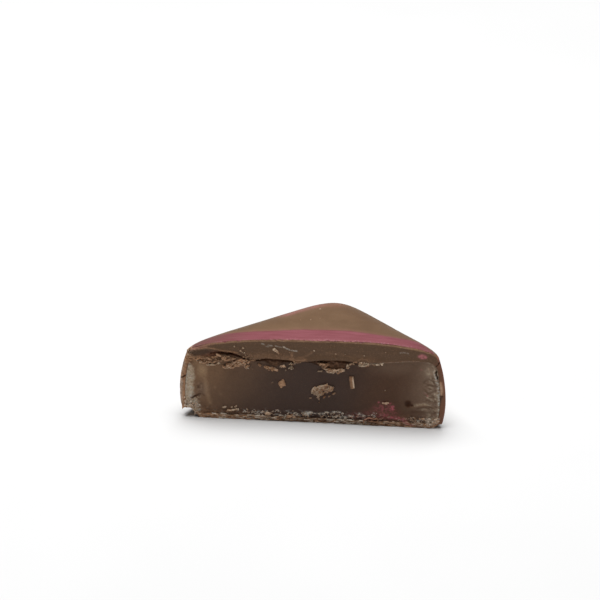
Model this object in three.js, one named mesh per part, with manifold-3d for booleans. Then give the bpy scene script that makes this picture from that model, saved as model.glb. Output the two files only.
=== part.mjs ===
// Half of a chocolate dipped turkish delight, cut from corner to corner and lying on its underside.
// A square of jelly sits in a coat of milk chocolate with a thick domed top, and a pink lustre stroke
// was brushed over the top from corner to corner, so the cut runs along the middle of the stroke.
//
// Units are millimetres and +Z is up. The shapes are worked out with the cut face in the plane y = 0,
// facing -Y, and the back corner at +Y. The group then moves the whole half forward, so that the
// origin is a point of the flat underside, about below the centre of mass.

import * as THREE from "three";
import { mergeVertices } from "three/addons/utils/BufferGeometryUtils.js";
import { ImprovedNoise } from "three/addons/math/ImprovedNoise.js";
import Module from "manifold-3d";

// The whole chocolate
const halfSide = 16.54; // mean of the two sides, at the widest
const longSide = 0.033; // by which one side is longer than the mean and the other shorter
const height = 14.33; // at the middle of the top
const squareTurn = -0.066; // radians from the cut to the diagonal
const wallSquareness = 7.1; // superellipse power of the outline, high is square
const domeSquareness = 2.5; // the same at the middle of the top
const domeHeight = 2.63; // from the shoulder to the middle of the top
const domePower = 3.2; // how flat the middle of the top is
const domeRoundness = 0.59; // how the top falls to the shoulder
const topLean = 0.0235; // rise of the top in mm per mm of x
const bulgeHeight = 4.8; // where the walls are widest
const bulgeDrop = 0.0195; // inset of the wall per mm squared above or below that
const footHeight = 1.2; // of the rounded lower edge
const footInset = 0.8;
const footPower = 2.5;

// The coat
const wallThickness = 0.9;
const floorThickness = 0.75;
const ceilingHeight = 10.8; // of the pocket at the middle
const ceilingLean = 0.024;
const pocketRound = 1.3; // of the pocket's upper and lower edges

// The jelly
const fitGap = 0.3; // between the jelly and the coat
const jellySunk = 0.22; // of its cut face behind the coat's

// The lustre stroke
const strokeWidth = 3.65; // what is left of it behind the cut
const strokeReach = 19.4; // of its two ends from the middle
const strokeBelly = 0.7; // extra width at the middle
const strokeBottom = 11.7; // how far down its ends run
const strokeLift = 0.1; // clear of the coat
const strokeThickness = 0.2;

// The gap at the left where the top has come away from the jelly
const gapLeft = -19.3;
const gapRight = -10.3;
const gapRise = 11.4; // of its middle line
const gapTall = 1.1; // above the middle line at the left
const gapDeep = 5.5;

// The corner broken off the lower left, as seen in the cut: [x, z]
const brokenOutline = [
  [-23, -1],
  [-17.6, -1],
  [-18.15, 0],
  [-18.5, 0.55],
  [-18.95, 1.0],
  [-19.2, 1.5],
  [-20.3, 1.55],
  [-21, 1.3],
  [-23, 1.5],
];
const brokenDeep = 2.2;

// The small hole in the jelly
const pitX = 15.45;
const pitZ = 3.97;
const pitRadius = 0.6;
const pitDeep = 1.4;

// How finely the surfaces are divided
const sideSteps = 18; // of one side of the square
const footSteps = 4;
const wallSteps = 6;
const domeSteps = 12;
const pocketRoundSteps = 4;
const pocketWallSteps = 3;
const strokeSteps = 60;

// The plane of the cut, wide enough to pass all round the chocolate
const cutLeft = -24;
const cutRight = 24;
const cutLow = -2;
const cutHigh = 17;
const cutFront = -30;
const cutColumns = 64;
const cutRows = 22;

const originBehindCut = 7;
const quarter = Math.PI / 2;

const wasm = await Module();
wasm.setup();
const perlin = new ImprovedNoise();

// A small seeded generator, so that every build gives the same crumbs.
function seededRandom(seed) {
  let state = seed;
  return () => {
    state = (state * 1664525 + 1013904223) % 4294967296;
    return state / 4294967296;
  };
}

function smoothStep(from, to, value) {
  const t = Math.min(1, Math.max(0, (value - from) / (to - from)));
  return t * t * (3 - 2 * t);
}

// A soft bump, 1 at its centre and 0.14 one width away.
function bump(value, centre, width) {
  return Math.exp(-2 * ((value - centre) / width) ** 2);
}

// Geometry to solid and back

function solidOf(geometry) {
  const bare = geometry.clone();
  bare.deleteAttribute("normal");
  bare.deleteAttribute("uv");
  const merged = mergeVertices(bare, 1e-4);
  return new wasm.Manifold(
    new wasm.Mesh({
      numProp: 3,
      vertProperties: new Float32Array(merged.attributes.position.array),
      triVerts: new Uint32Array(merged.index.array),
    }),
  );
}

function meshOf(name, solid, material) {
  const mesh = solid.getMesh();
  const geometry = new THREE.BufferGeometry();
  geometry.setAttribute("position", new THREE.BufferAttribute(mesh.vertProperties, 3));
  geometry.setIndex(new THREE.BufferAttribute(mesh.triVerts, 1));
  geometry.computeVertexNormals();
  const made = new THREE.Mesh(geometry, material);
  made.name = name;
  return made;
}

function solidFrom(points, faces) {
  const geometry = new THREE.BufferGeometry();
  geometry.setAttribute("position", new THREE.Float32BufferAttribute(points, 3));
  geometry.setIndex(faces);
  return solidOf(geometry);
}

// Rounded squares stacked as rings

// Distance from the middle to a rounded square in the direction of an angle. Its corners lie near
// the X and Y axes.
function outlineRadius(angle, reach, squareness) {
  const turned = angle - squareTurn - quarter / 2;
  const c = Math.abs(Math.cos(turned) / (1 + longSide)) ** squareness;
  const s = Math.abs(Math.sin(turned) / (1 - longSide)) ** squareness;
  return reach / (c + s) ** (1 / squareness);
}

// Angles all round, closer together towards the four corners.
function outlineAngles() {
  const angles = [];
  for (let side = 0; side < 4; side++)
    for (let i = 0; i < sideSteps; i++) {
      const along = Math.sin(((2 * i) / sideSteps - 1) * quarter);
      const onSquare = side * quarter + Math.atan(along);
      const u = Math.cos(onSquare) * (1 + longSide);
      const v = Math.sin(onSquare) * (1 - longSide);
      angles.push(squareTurn + quarter / 2 + Math.atan2(v, u));
    }
  return angles;
}

// A closed solid through rings of { reach, z, squareness }, from the middle below to the middle
// above. lean is the rise per mm of x at the height leanHeight.
function ringSolid(rings, lean, leanHeight) {
  const angles = outlineAngles();
  const points = [];
  for (const ring of rings)
    for (const angle of angles) {
      const r = outlineRadius(angle, ring.reach, ring.squareness);
      const x = r * Math.cos(angle);
      points.push(x, r * Math.sin(angle), ring.z + (lean * x * ring.z) / leanHeight);
    }
  const below = points.length / 3;
  const above = below + 1;
  points.push(0, 0, rings[0].z);
  points.push(0, 0, rings.at(-1).z);
  const n = angles.length;
  const last = (rings.length - 1) * n;
  const faces = [];
  for (let i = 0; i < n; i++) {
    const next = (i + 1) % n;
    faces.push(below, next, i);
    for (let start = 0; start < last; start += n) {
      const [a, b] = [start + i, start + next];
      faces.push(a, b, b + n, a, b + n, a + n);
    }
    faces.push(above, last + i, last + next);
  }
  return solidFrom(points, faces);
}

function wallInset(z) {
  const foot = z < footHeight ? footInset * (1 - z / footHeight) ** footPower : 0;
  return bulgeDrop * (z - bulgeHeight) ** 2 + foot;
}

// The whole chocolate's outside, grown outwards by a distance.
function chocolateBlock(grow = 0) {
  const shoulder = height - domeHeight;
  const rings = [];
  const add = (reach, z, squareness = wallSquareness) =>
    rings.push({ reach: reach + grow, z, squareness });
  for (const share of [0.3, 0.62, 0.87])
    add(share * (halfSide - wallInset(0)), -grow);
  for (let i = 0; i < footSteps; i++) {
    const z = footHeight * (i / footSteps) ** 1.5;
    add(halfSide - wallInset(z), i === 0 ? -grow : z);
  }
  for (let i = 0; i < wallSteps; i++) {
    const z = footHeight + ((shoulder - footHeight) * i) / wallSteps;
    add(halfSide - wallInset(z), z);
  }
  for (let i = 0; i < domeSteps; i++) {
    const turn = quarter * (1 - i / domeSteps);
    const share = Math.sin(turn) ** (2 / domePower);
    const z = shoulder + domeHeight * Math.cos(turn) ** (2 * domeRoundness);
    const squareness = domeSquareness + (wallSquareness - domeSquareness) * share ** 2;
    add(share * (halfSide - wallInset(shoulder)), z + grow, squareness);
  }
  add(0.4, height + grow, domeSquareness);
  return ringSolid(rings, topLean, height);
}

// A block that follows the walls at a distance inside them, with its upper and lower edges rounded.
function innerBlock(inside, bottom, top, edgeRound) {
  const rings = [];
  const add = (inset, z) =>
    rings.push({
      reach: halfSide - wallInset(Math.max(z, footHeight)) - inside - inset,
      z,
      squareness: wallSquareness,
    });
  add(halfSide / 2, bottom);
  for (let i = 0; i < pocketRoundSteps; i++) {
    const turn = (quarter * i) / pocketRoundSteps;
    add(edgeRound * (1 - Math.sin(turn)), bottom + edgeRound * (1 - Math.cos(turn)));
  }
  for (let i = 0; i <= pocketWallSteps; i++)
    add(0, bottom + edgeRound + ((top - bottom - 2 * edgeRound) * i) / pocketWallSteps);
  for (let i = 1; i <= pocketRoundSteps; i++) {
    const turn = (quarter * i) / pocketRoundSteps;
    add(edgeRound * (1 - Math.cos(turn)), top - edgeRound * (1 - Math.sin(turn)));
  }
  add(halfSide / 2, top);
  return ringSolid(rings, ceilingLean, ceilingHeight);
}

// The relief of the cut, as depths in mm behind the plane y = 0 at (x, z)

// The blade left long soft waves in the chocolate. A lip hangs forward along the lower edge of the
// thick top, and the top's upper edge is rounded.
function chocolateRelief(x, z) {
  const waves = 0.16 * perlin.noise(x * 0.22, z * 0.5, 3.1);
  const grain = 0.07 * perlin.noise(x * 1.1, z * 1.6, 7.7);
  const lip = -0.14 * bump(z, ceilingHeight + ceilingLean * x + 0.3, 0.7);
  const upperEdge = 0.2 * smoothStep(height - 1.7, height, z);
  return waves + grain + lip + upperEdge;
}

// The jelly dragged a little, tore below the thick top and sank in towards its left end.
function jellyRelief(x, z) {
  const waves = 0.1 * perlin.noise(x * 0.25, z * 0.4, 11.3);
  const drag = 0.06 * perlin.noise(x * 0.9, z * 0.5, 5.9);
  const topEdge = smoothStep(9.3, 10.3, z - ceilingLean * x);
  const tornStretch = smoothStep(-12.5, -10.5, x) * (1 - smoothStep(5.2, 7.5, x));
  const torn = topEdge * tornStretch * (0.56 + 0.38 * perlin.noise(x * 1.3, 2.4, 0.5));
  const leftEnd = 0.35 * smoothStep(-18.3, -19.6, x);
  return jellySunk + waves + drag + torn + leftEnd;
}

// Everything in front of a relief, as one solid to cut with. The relief is a grid, and the flat
// sides fan out to its edge from the two front corners beside them.
function inFrontOf(relief) {
  const points = [];
  for (let j = 0; j <= cutRows; j++)
    for (let i = 0; i <= cutColumns; i++) {
      const x = cutLeft + ((cutRight - cutLeft) * i) / cutColumns;
      const z = cutLow + ((cutHigh - cutLow) * j) / cutRows;
      points.push(x, relief(x, z), z);
    }
  const row = cutColumns + 1;
  const lowLeft = points.length / 3;
  const [lowRight, highRight, highLeft] = [lowLeft + 1, lowLeft + 2, lowLeft + 3];
  points.push(cutLeft, cutFront, cutLow);
  points.push(cutRight, cutFront, cutLow);
  points.push(cutRight, cutFront, cutHigh);
  points.push(cutLeft, cutFront, cutHigh);
  const faces = [lowLeft, lowRight, highRight, lowLeft, highRight, highLeft];
  for (let j = 0; j < cutRows; j++)
    for (let i = 0; i < cutColumns; i++) {
      const a = j * row + i;
      faces.push(a, a + row, a + row + 1, a, a + row + 1, a + 1);
    }
  const topRow = cutRows * row;
  for (let i = 0; i < cutColumns; i++) {
    const leftHalf = i < cutColumns / 2;
    faces.push(leftHalf ? lowLeft : lowRight, i, i + 1);
    faces.push(leftHalf ? highLeft : highRight, topRow + i + 1, topRow + i);
  }
  for (let j = 0; j < cutRows; j++) {
    const [a, b] = [j * row, (j + 1) * row];
    const lowHalf = j < cutRows / 2;
    faces.push(lowHalf ? lowLeft : highLeft, b, a);
    faces.push(lowHalf ? lowRight : highRight, a + cutColumns, b + cutColumns);
  }
  const middle = cutColumns / 2;
  const leftMiddle = (cutRows / 2) * row;
  faces.push(lowLeft, middle, lowRight, highLeft, highRight, topRow + middle);
  faces.push(lowLeft, highLeft, leftMiddle, lowRight, leftMiddle + cutColumns, highRight);
  return solidFrom(points, faces);
}

// Chips, cracks and pits

// A box centred on x, 0, z, turned about Y.
function slotCutter(x, z, width, depth, tall, turn) {
  return solidOf(new THREE.BoxGeometry(width, depth, tall).rotateY(turn).translate(x, 0, z));
}

// The broken corner runs back from the cut and tapers towards the left.
function brokenCorner() {
  const left = brokenOutline[0][0];
  const front = 1;
  const depth = front + brokenDeep;
  const shape = new THREE.Shape(brokenOutline.map(([x, z]) => new THREE.Vector2(x, z)));
  const geometry = new THREE.ExtrudeGeometry(shape, { depth, steps: 4, bevelEnabled: false });
  const place = geometry.attributes.position;
  for (let i = 0; i < place.count; i++) {
    const [x, z, back] = [place.getX(i), place.getY(i), place.getZ(i)];
    const taper = 1 - 0.55 * (back / depth) ** 2;
    const jag = 0.25 * perlin.noise(x * 1.7, z * 1.7, back * 1.3);
    place.setXYZ(i, left + (x - left) * taper + jag, back - front, z < 0 ? z : z * taper);
  }
  const facesOut = [];
  for (let i = 0; i < place.count; i += 3) facesOut.push(i, i + 2, i + 1);
  geometry.setIndex(facesOut);
  return solidOf(geometry);
}

// The left gap is a ball stretched between its two ends. It thins towards the right, sags a little
// and reaches less deep towards the corner.
function leftGap() {
  const geometry = new THREE.SphereGeometry(1, 20, 12);
  const place = geometry.attributes.position;
  for (let i = 0; i < place.count; i++) {
    const [u, v, w] = [place.getX(i), place.getY(i), place.getZ(i)];
    const share = (u + 1) / 2;
    const x = gapLeft + (gapRight - gapLeft) * share;
    const tall = w > 0 ? gapTall * (1 - 0.68 * share) : 1.2 * gapTall;
    const middle = gapRise - 0.65 * share ** 2;
    place.setXYZ(i, x, v * gapDeep * (0.25 + 0.75 * share), middle + w * tall);
  }
  return solidOf(geometry);
}

function pit(x, z, radius, deep) {
  const ball = new THREE.IcosahedronGeometry(radius, 1).scale(1, deep / radius, 1);
  return solidOf(ball.translate(x, 0.2, z));
}

// Crumbs and flakes of chocolate that stick to the jelly

const random = seededRandom(20);

// An irregular lump at (x, y, z), of size [width, depth, height] and leaning in the plane of the cut.
function lump(x, y, z, size, lean, roughness = 0.35) {
  const geometry = new THREE.IcosahedronGeometry(1, 1);
  const offset = 50 * random();
  const place = geometry.attributes.position;
  for (let i = 0; i < place.count; i++) {
    const [a, b, c] = [place.getX(i), place.getY(i), place.getZ(i)];
    const r = 0.5 + 0.5 * roughness * perlin.noise(a * 1.9 + offset, b * 1.9, c * 1.9);
    place.setXYZ(i, a * r * size[0], b * r * size[1], c * r * size[2]);
  }
  return solidOf(geometry.rotateY(-lean).translate(x, y, z));
}

// The three crumbs that stand out on the jelly: a small one, a broken one and an upright bar.
function faceCrumbs() {
  const bar = new THREE.BoxGeometry(0.8, 1, 2.3).rotateY(-0.12).translate(6.35, 0.1, 7.4);
  return [
    lump(-4.83, 0.2, 6.6, [1.15, 1.1, 1.75], 0.3),
    lump(2.1, 0.15, 6.2, [3.3, 1.3, 1.3], 0.25),
    lump(0.75, 0.2, 5.5, [1.5, 1.1, 1.5], -0.5),
    lump(2.4, 0.2, 5.0, [1.3, 0.9, 0.9], 0.6),
    solidOf(bar),
  ];
}

// Ragged flakes below the thick top, from the left end to past the middle.
function ledgeFlakes() {
  const flakes = [
    { x: -16.2, z: 9.85, long: 3.6, lean: 0.02 },
    { x: -13.2, z: 9.85, long: 3.2, lean: -0.1 },
    { x: -11.6, z: 9.35, long: 3.2, lean: 0.12 },
    { x: -6.7, z: 9.0, long: 2.6, lean: -0.35 },
    { x: -4.2, z: 9.65, long: 1.9, lean: 0.1 },
    { x: 2.0, z: 9.75, long: 2.2, lean: -0.35 },
    { x: 3.6, z: 9.3, long: 2.8, lean: 0.12 },
    { x: 7.9, z: 10.25, long: 1.9, lean: 0.1 },
  ];
  return flakes.map(({ x, z, long, lean }) => {
    const size = [long, 1.3, 0.75 + 0.2 * random()];
    return lump(x, 0.25 + 0.15 * random(), z, size, lean, 0.5);
  });
}

// Small scraps in a broken line just above the floor of the coat.
function lowerScraps() {
  const scraps = [];
  for (let x = -14.5; x < 17; x += 1.7 + 1.5 * random()) {
    const size = [0.9 + 1.3 * random(), 0.9, 0.5];
    scraps.push(lump(x, 0.2, 1.75 + 0.25 * random(), size, 0.2 * (random() - 0.5), 0.5));
  }
  return scraps;
}

// The pieces

const chocolateCut = inFrontOf(chocolateRelief);
const corner = brokenCorner();

function makeCoat() {
  const pocket = innerBlock(wallThickness, floorThickness, ceilingHeight, pocketRound);
  const leftCrack = slotCutter(-21, 6.85, 2.8, 2.8, 0.24, 0.18);
  const lowerRightNick = slotCutter(20.6, 0.25, 0.3, 1.6, 1.3, -0.25);
  const rightTear = slotCutter(20.25, 5.2, 0.5, 1.8, 0.7, 0.5);
  return chocolateBlock()
    .subtract(pocket)
    .subtract(leftGap())
    .subtract(chocolateCut)
    .subtract(corner)
    .subtract(leftCrack)
    .subtract(lowerRightNick)
    .subtract(rightTear);
}

function makeJelly() {
  const inside = wallThickness + fitGap;
  const bottom = floorThickness + fitGap;
  const block = innerBlock(inside, bottom, ceilingHeight - fitGap, pocketRound - fitGap / 2);
  let jelly = block
    .subtract(inFrontOf(jellyRelief))
    .subtract(corner)
    .subtract(pit(pitX, pitZ, pitRadius, pitDeep))
    .subtract(pit(19.6, 9.3, 0.35, 1.2));
  for (const piece of [...faceCrumbs(), ...ledgeFlakes(), ...lowerScraps()])
    jelly = jelly.add(piece);
  return jelly;
}

// The stroke is a thin shell over the top, kept inside the stroke's outline as seen from above.
function makeStroke() {
  const shape = new THREE.Shape();
  shape.moveTo(-strokeReach, -2);
  shape.lineTo(strokeReach, -2);
  for (let i = 0; i <= strokeSteps; i++) {
    const x = strokeReach * (1 - (2 * i) / strokeSteps);
    const ends = Math.max(0, 1 - Math.abs(x / strokeReach) ** 10) ** 0.55;
    const ragged = 0.3 * perlin.noise(x * 0.8, 4.2, 8.8) * (1 - bump(x, 0, 15));
    const width = (strokeWidth + strokeBelly * bump(x, 0, 8) + ragged) * ends;
    shape.lineTo(x, Math.max(-1, width));
  }
  const outline = new THREE.ExtrudeGeometry(shape, { depth: height / 2, bevelEnabled: false });
  return chocolateBlock(strokeLift + strokeThickness)
    .subtract(chocolateBlock(strokeLift))
    .intersect(solidOf(outline.translate(0, 0, strokeBottom)))
    .subtract(chocolateCut);
}

const milkChocolate = new THREE.MeshStandardMaterial({
  color: 0x7a5c45,
  roughness: 0.42,
  metalness: 0,
});
const roseJelly = new THREE.MeshStandardMaterial({
  color: 0x4f3b32,
  roughness: 0.35,
  metalness: 0,
});
const pinkLustre = new THREE.MeshStandardMaterial({
  color: 0xb0657a,
  roughness: 0.4,
  metalness: 0.3,
});

const half = new THREE.Group();
half.add(meshOf("chocolate_coat", makeCoat(), milkChocolate));
half.add(meshOf("turkish_delight", makeJelly(), roseJelly));
half.add(meshOf("lustre_stroke", makeStroke(), pinkLustre));
half.position.y = -originBehindCut;

export default half;
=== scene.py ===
import math

import bpy
import numpy as np
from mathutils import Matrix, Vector


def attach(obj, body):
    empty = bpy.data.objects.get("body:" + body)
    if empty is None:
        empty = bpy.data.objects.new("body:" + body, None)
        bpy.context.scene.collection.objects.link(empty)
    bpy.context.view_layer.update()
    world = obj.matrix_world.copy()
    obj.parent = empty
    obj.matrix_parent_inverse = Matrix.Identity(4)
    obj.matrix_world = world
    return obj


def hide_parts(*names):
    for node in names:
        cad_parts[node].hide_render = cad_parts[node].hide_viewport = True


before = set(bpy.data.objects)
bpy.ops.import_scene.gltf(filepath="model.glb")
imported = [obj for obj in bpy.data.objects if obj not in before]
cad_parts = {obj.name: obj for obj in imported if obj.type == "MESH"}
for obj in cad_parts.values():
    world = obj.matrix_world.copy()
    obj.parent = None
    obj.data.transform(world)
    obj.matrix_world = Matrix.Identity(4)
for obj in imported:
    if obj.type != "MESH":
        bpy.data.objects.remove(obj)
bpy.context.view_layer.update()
mm = 0.001
originBehindCut = 7.0
print("frame loaded:", sorted(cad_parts))

# Camera

view = {
    "place": (37.032, -370.507, 184.102),
    "target": (-1.913, -7.205, 21.3305),
    "lens": 154.04,
    "sensor": 36,
    "clip": (0.01, 20),
}


# A camera or a lamp at a place, its -Z axis turned along target - place.
def aimed(name, data, place, target):
    made = bpy.data.objects.new(name, data)
    made.location = place
    made.rotation_euler = (Vector(target) - Vector(place)).to_track_quat("-Z", "Y").to_euler()
    bpy.context.scene.collection.objects.link(made)
    return made


def addCamera():
    data = bpy.data.cameras.new("camera")
    data.lens, data.sensor_width, data.sensor_fit = view["lens"], view["sensor"], "HORIZONTAL"
    data.clip_start, data.clip_end = view["clip"]
    place, target = Vector(view["place"]) * mm, Vector(view["target"]) * mm
    bpy.context.scene.camera = aimed("camera", data, place, target)


addCamera()

# Numbers over whole arrays

shuffled = np.random.default_rng(11).permutation(256)
cellWays = np.array([
    (1, 1, 0), (-1, 1, 0), (1, -1, 0), (-1, -1, 0), (1, 0, 1), (-1, 0, 1),
    (1, 0, -1), (-1, 0, -1), (0, 1, 1), (0, -1, 1), (0, 1, -1), (0, -1, -1),
], float)


# Smooth random waves between about -1 and 1: a gradient at each corner of a unit cell, blended inside
# the cell by 6t^5 - 15t^4 + 10t^3.
def noise(x, y, z=0.0):
    x, y, z = np.broadcast_arrays(np.asarray(x, float), y, z)
    cx, cy, cz = (np.floor(v).astype(int) for v in (x, y, z))
    fx, fy, fz = x - cx, y - cy, z - cz
    wx, wy, wz = (t * t * t * (t * (t * 6 - 15) + 10) for t in (fx, fy, fz))
    total = np.zeros(x.shape)
    for dx in (0, 1):
        for dy in (0, 1):
            for dz in (0, 1):
                h = shuffled[(cx + dx) & 255]
                h = shuffled[(h + cy + dy) & 255]
                way = cellWays[shuffled[(h + cz + dz) & 255] % 12]
                slope = way[..., 0] * (fx - dx) + way[..., 1] * (fy - dy) + way[..., 2] * (fz - dz)
                weight = (wx if dx else 1 - wx) * (wy if dy else 1 - wy) * (wz if dz else 1 - wz)
                total += weight * slope
    return total


# Waves on waves: each layer twice as fine and half as high as the one before.
def roughNoise(x, y, z=0.0, layers=4):
    return sum(noise(x * 2**i, y * 2**i, z * 2**i + 17 * i) / 2**i for i in range(layers))


# 0 before start, 1 after end, and 3t^2 - 2t^3 between them.
def smoothStep(start, end, value):
    t = np.clip((value - start) / (end - start), 0, 1)
    return t * t * (3 - 2 * t)


# A soft hump, 1 at its centre and 0.14 one width away.
def hump(value, centre, width):
    return np.exp(-2 * ((value - centre) / width) ** 2)


# A line through measured points, with its corners rounded off by averaging over a short stretch.
def traced(points, value, soften=0.0):
    px, pz = np.array(points, float).T
    if not soften:
        return np.interp(value, px, pz)
    return sum(np.interp(value + soften * k, px, pz) for k in (-1, -0.5, 0, 0.5, 1)) / 5


# The distance from (x, z) to a chain of straight lines: the least over its pieces of the distance to the
# nearest point of the piece.
def chainDistance(x, z, points):
    nearest = np.full(np.shape(x), 1e9)
    for (ax, az), (bx, bz) in zip(points[:-1], points[1:]):
        dx, dz = bx - ax, bz - az
        t = np.clip(((x - ax) * dx + (z - az) * dz) / (dx * dx + dz * dz), 0, 1)
        nearest = np.minimum(nearest, np.hypot(x - ax - t * dx, z - az - t * dz))
    return nearest


# The largest of several masks, point by point.
def strongest(*masks):
    return np.maximum.reduce(np.broadcast_arrays(*masks))


# The strongest of several soft spots (x, z, width along x, width along z, strength).
def spots(x, z, places):
    return strongest(*(strength * np.exp(-2 * (((x - px) / wx) ** 2 + ((z - pz) / wz) ** 2))
                       for px, pz, wx, wz, strength in places))


# The strongest of several soft lines (points, width, strength).
def drawn(x, z, lines):
    return strongest(*(strength * np.exp(-2 * (chainDistance(x, z, points) / width) ** 2)
                       for points, width, strength in lines))


# Meshes

farInFront = -30.0


# Millimetres from the cut's plane to metres from the origin: subtract the origin's place, times 0.001.
def placed(points):
    return (np.asarray(points, float).reshape(-1, 3) - (0, originBehindCut, 0)) * mm


# An object from points in mm and groups of faces, each group an array with one row per face.
def makeObject(name, points, faceGroups):
    corners = np.concatenate([np.asarray(g).ravel() for g in faceGroups]).astype(np.int32)
    sizes = np.concatenate([np.full(len(g), np.shape(g)[1]) for g in faceGroups])
    starts = np.concatenate([[0], np.cumsum(sizes)[:-1]]).astype(np.int32)
    mesh = bpy.data.meshes.new(name)
    mesh.vertices.add(len(points))
    mesh.vertices.foreach_set("co", placed(points).ravel())
    mesh.loops.add(len(corners))
    mesh.loops.foreach_set("vertex_index", corners)
    mesh.polygons.add(len(sizes))
    mesh.polygons.foreach_set("loop_start", starts)
    mesh.update(calc_edges=True)
    mesh.validate()
    made = bpy.data.objects.new(name, mesh)
    bpy.context.scene.collection.objects.link(made)
    return made


# Where a mesh's points are, in mm with the cut at y = 0: x, y and z as three arrays.
def pointsOf(mesh):
    co = np.empty(len(mesh.vertices) * 3)
    mesh.vertices.foreach_get("co", co)
    return (co.reshape(-1, 3) / mm + (0, originBehindCut, 0)).T


# The quads of a grid of rows x columns points, the last column joined to the first where it is a ring.
def gridQuads(rows, columns, ring=False):
    index = np.arange(rows * columns).reshape(rows, columns)
    if ring:
        index = np.concatenate([index, index[:, :1]], axis=1)
    return np.stack([index[:-1, :-1], index[:-1, 1:], index[1:, 1:], index[1:, :-1]], -1).reshape(-1, 4)


# The numbers of the points along the four edges of a grid, once round it.
def gridEdge(rows, columns):
    index = np.arange(rows * columns).reshape(rows, columns)
    return np.concatenate([index[0, :-1], index[:-1, -1], index[-1, :0:-1], index[:0:-1, 0]])


# The points and faces of a closed solid through rings [ring, point, xyz], from below to above, with a pole
# at the mean of the first ring and another at the mean of the last.
def ringParts(rings):
    rows, columns, _ = rings.shape
    points = np.concatenate([rings.reshape(-1, 3), [rings[0].mean(0), rings[-1].mean(0)]])
    first, last = np.arange(columns), (rows - 1) * columns
    after = np.roll(first, -1)
    pole = np.full(columns, rows * columns)
    lowFan = np.stack([pole, after, first], -1)
    highFan = np.stack([pole + 1, last + first, last + after], -1)
    return points, [gridQuads(rows, columns, True), lowFan, highFan]


def ringSolid(name, rings):
    return makeObject(name, *ringParts(rings))


# Everything in front of a relief, to cut with: the relief is a depth behind y = 0 over a grid in x and z,
# joined by its four edges to one flat face far in front.
def inFrontOf(name, relief, left, right, low, high, step):
    xs = np.linspace(left, right, int((right - left) / step) + 1)
    zs = np.linspace(low, high, int((high - low) / step) + 1)
    x, z = np.meshgrid(xs, zs)
    grid = np.stack([x, relief(x, z), z], -1).reshape(-1, 3)
    edge = gridEdge(*x.shape)
    far = grid[edge].copy()
    far[:, 1] = farInFront
    farIndex = len(grid) + np.arange(len(edge))
    sides = np.stack([edge, np.roll(edge, -1), np.roll(farIndex, -1), farIndex], -1)
    faces = [gridQuads(*x.shape)[:, ::-1], sides, farIndex[None, :]]
    return makeObject(name, np.concatenate([grid, far]), faces)


# Cuts solids out of a piece, and leaves the result as its mesh.
def cutAway(piece, cutters):
    for cutter in cutters:
        tool = piece.modifiers.new("cut", "BOOLEAN")
        tool.operation, tool.solver, tool.object = "DIFFERENCE", "MANIFOLD", cutter
    bpy.context.view_layer.update()
    uncut = piece.data
    cut = bpy.data.meshes.new_from_object(piece.evaluated_get(bpy.context.evaluated_depsgraph_get()))
    piece.modifiers.clear()
    piece.data = cut
    cut.name = piece.name
    bpy.data.meshes.remove(uncut)
    for cutter in cutters:
        bpy.data.objects.remove(cutter)


def smoothShade(piece, sharpAngle=40):
    mesh = piece.data
    mesh.polygons.foreach_set("use_smooth", np.ones(len(mesh.polygons), bool))
    mesh.set_sharp_from_angle(angle=math.radians(sharpAngle))
    mesh.update()


# Keeps a number from 0 to 1 for each point of a piece, under the name by which its material reads it.
def keepMasks(piece, masks):
    for name, values in masks.items():
        mask = piece.data.attributes.new(name, "FLOAT", "POINT")
        values = np.broadcast_to(np.clip(values, 0, 1), len(mask.data))
        mask.data.foreach_set("value", values.astype(np.float32))


def setMaterial(piece, name, build):
    piece.data.materials.clear()
    piece.data.materials.append(newMaterial(name, build))
    print(piece.name + ":", len(piece.data.polygons), "faces,", name)


# Materials

class Wire:  # one socket of a material's nodes, which takes part in sums
    def __init__(self, tree, socket=None):
        self.tree, self.socket = tree, socket

    # Adds a node: its settings are set first, then each socket gets its value or link.
    def node(self, kind, settings, sockets, out=0):
        made = self.tree.nodes.new(kind)
        for name, value in settings.items():
            setattr(made, name, value)
        for name, value in sockets.items():
            if isinstance(value, Wire):
                self.tree.links.new(value.socket, made.inputs[name])
            else:
                made.inputs[name].default_value = value
        return Wire(self.tree, made.outputs[out]) if len(made.outputs) else made

    def maths(self, operation, first, second):
        return self.node("ShaderNodeMath", {"operation": operation}, {0: first, 1: second})

    def __add__(self, other):
        return self.maths("ADD", self, other)

    def __radd__(self, other):
        return self.maths("ADD", other, self)

    def __mul__(self, other):
        return self.maths("MULTIPLY", self, other)

    def __rmul__(self, other):
        return self.maths("MULTIPLY", other, self)

    # 0 below start, 1 above end, and a smooth step between them.
    def between(self, start, end):
        return self.node("ShaderNodeMapRange", {"interpolation_type": "SMOOTHSTEP"},
                         {"Value": self, "From Min": start, "From Max": end})

    def blend(self, first, second):  # self is the share of the second colour
        return self.node("ShaderNodeMix", {"data_type": "RGBA"}, {0: self, 6: first, 7: second}, out=2)

    def waves(self, scale, detail=2.0, rough=0.55, stretch=None):  # noise on a position in mm
        place = self
        if stretch:
            place = self.node("ShaderNodeVectorMath", {"operation": "MULTIPLY"}, {0: self, 1: stretch})
        return self.node("ShaderNodeTexNoise", {}, {
            "Vector": place, "Scale": scale, "Detail": detail, "Roughness": rough})

    def mask(self, name):
        return self.node("ShaderNodeAttribute", {"attribute_name": name}, {}, out="Fac")

    def bumped(self, strength, distance, under=None):
        sockets = {"Height": self, "Strength": strength, "Distance": distance * mm}
        if under:
            sockets["Normal"] = under
        return self.node("ShaderNodeBump", {}, sockets)


# Colours laid over each other: each layer covers what is below it by its share.
def layered(colour, layers):
    for share, over in layers:
        colour = share.blend(colour, over)
    return colour


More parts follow.
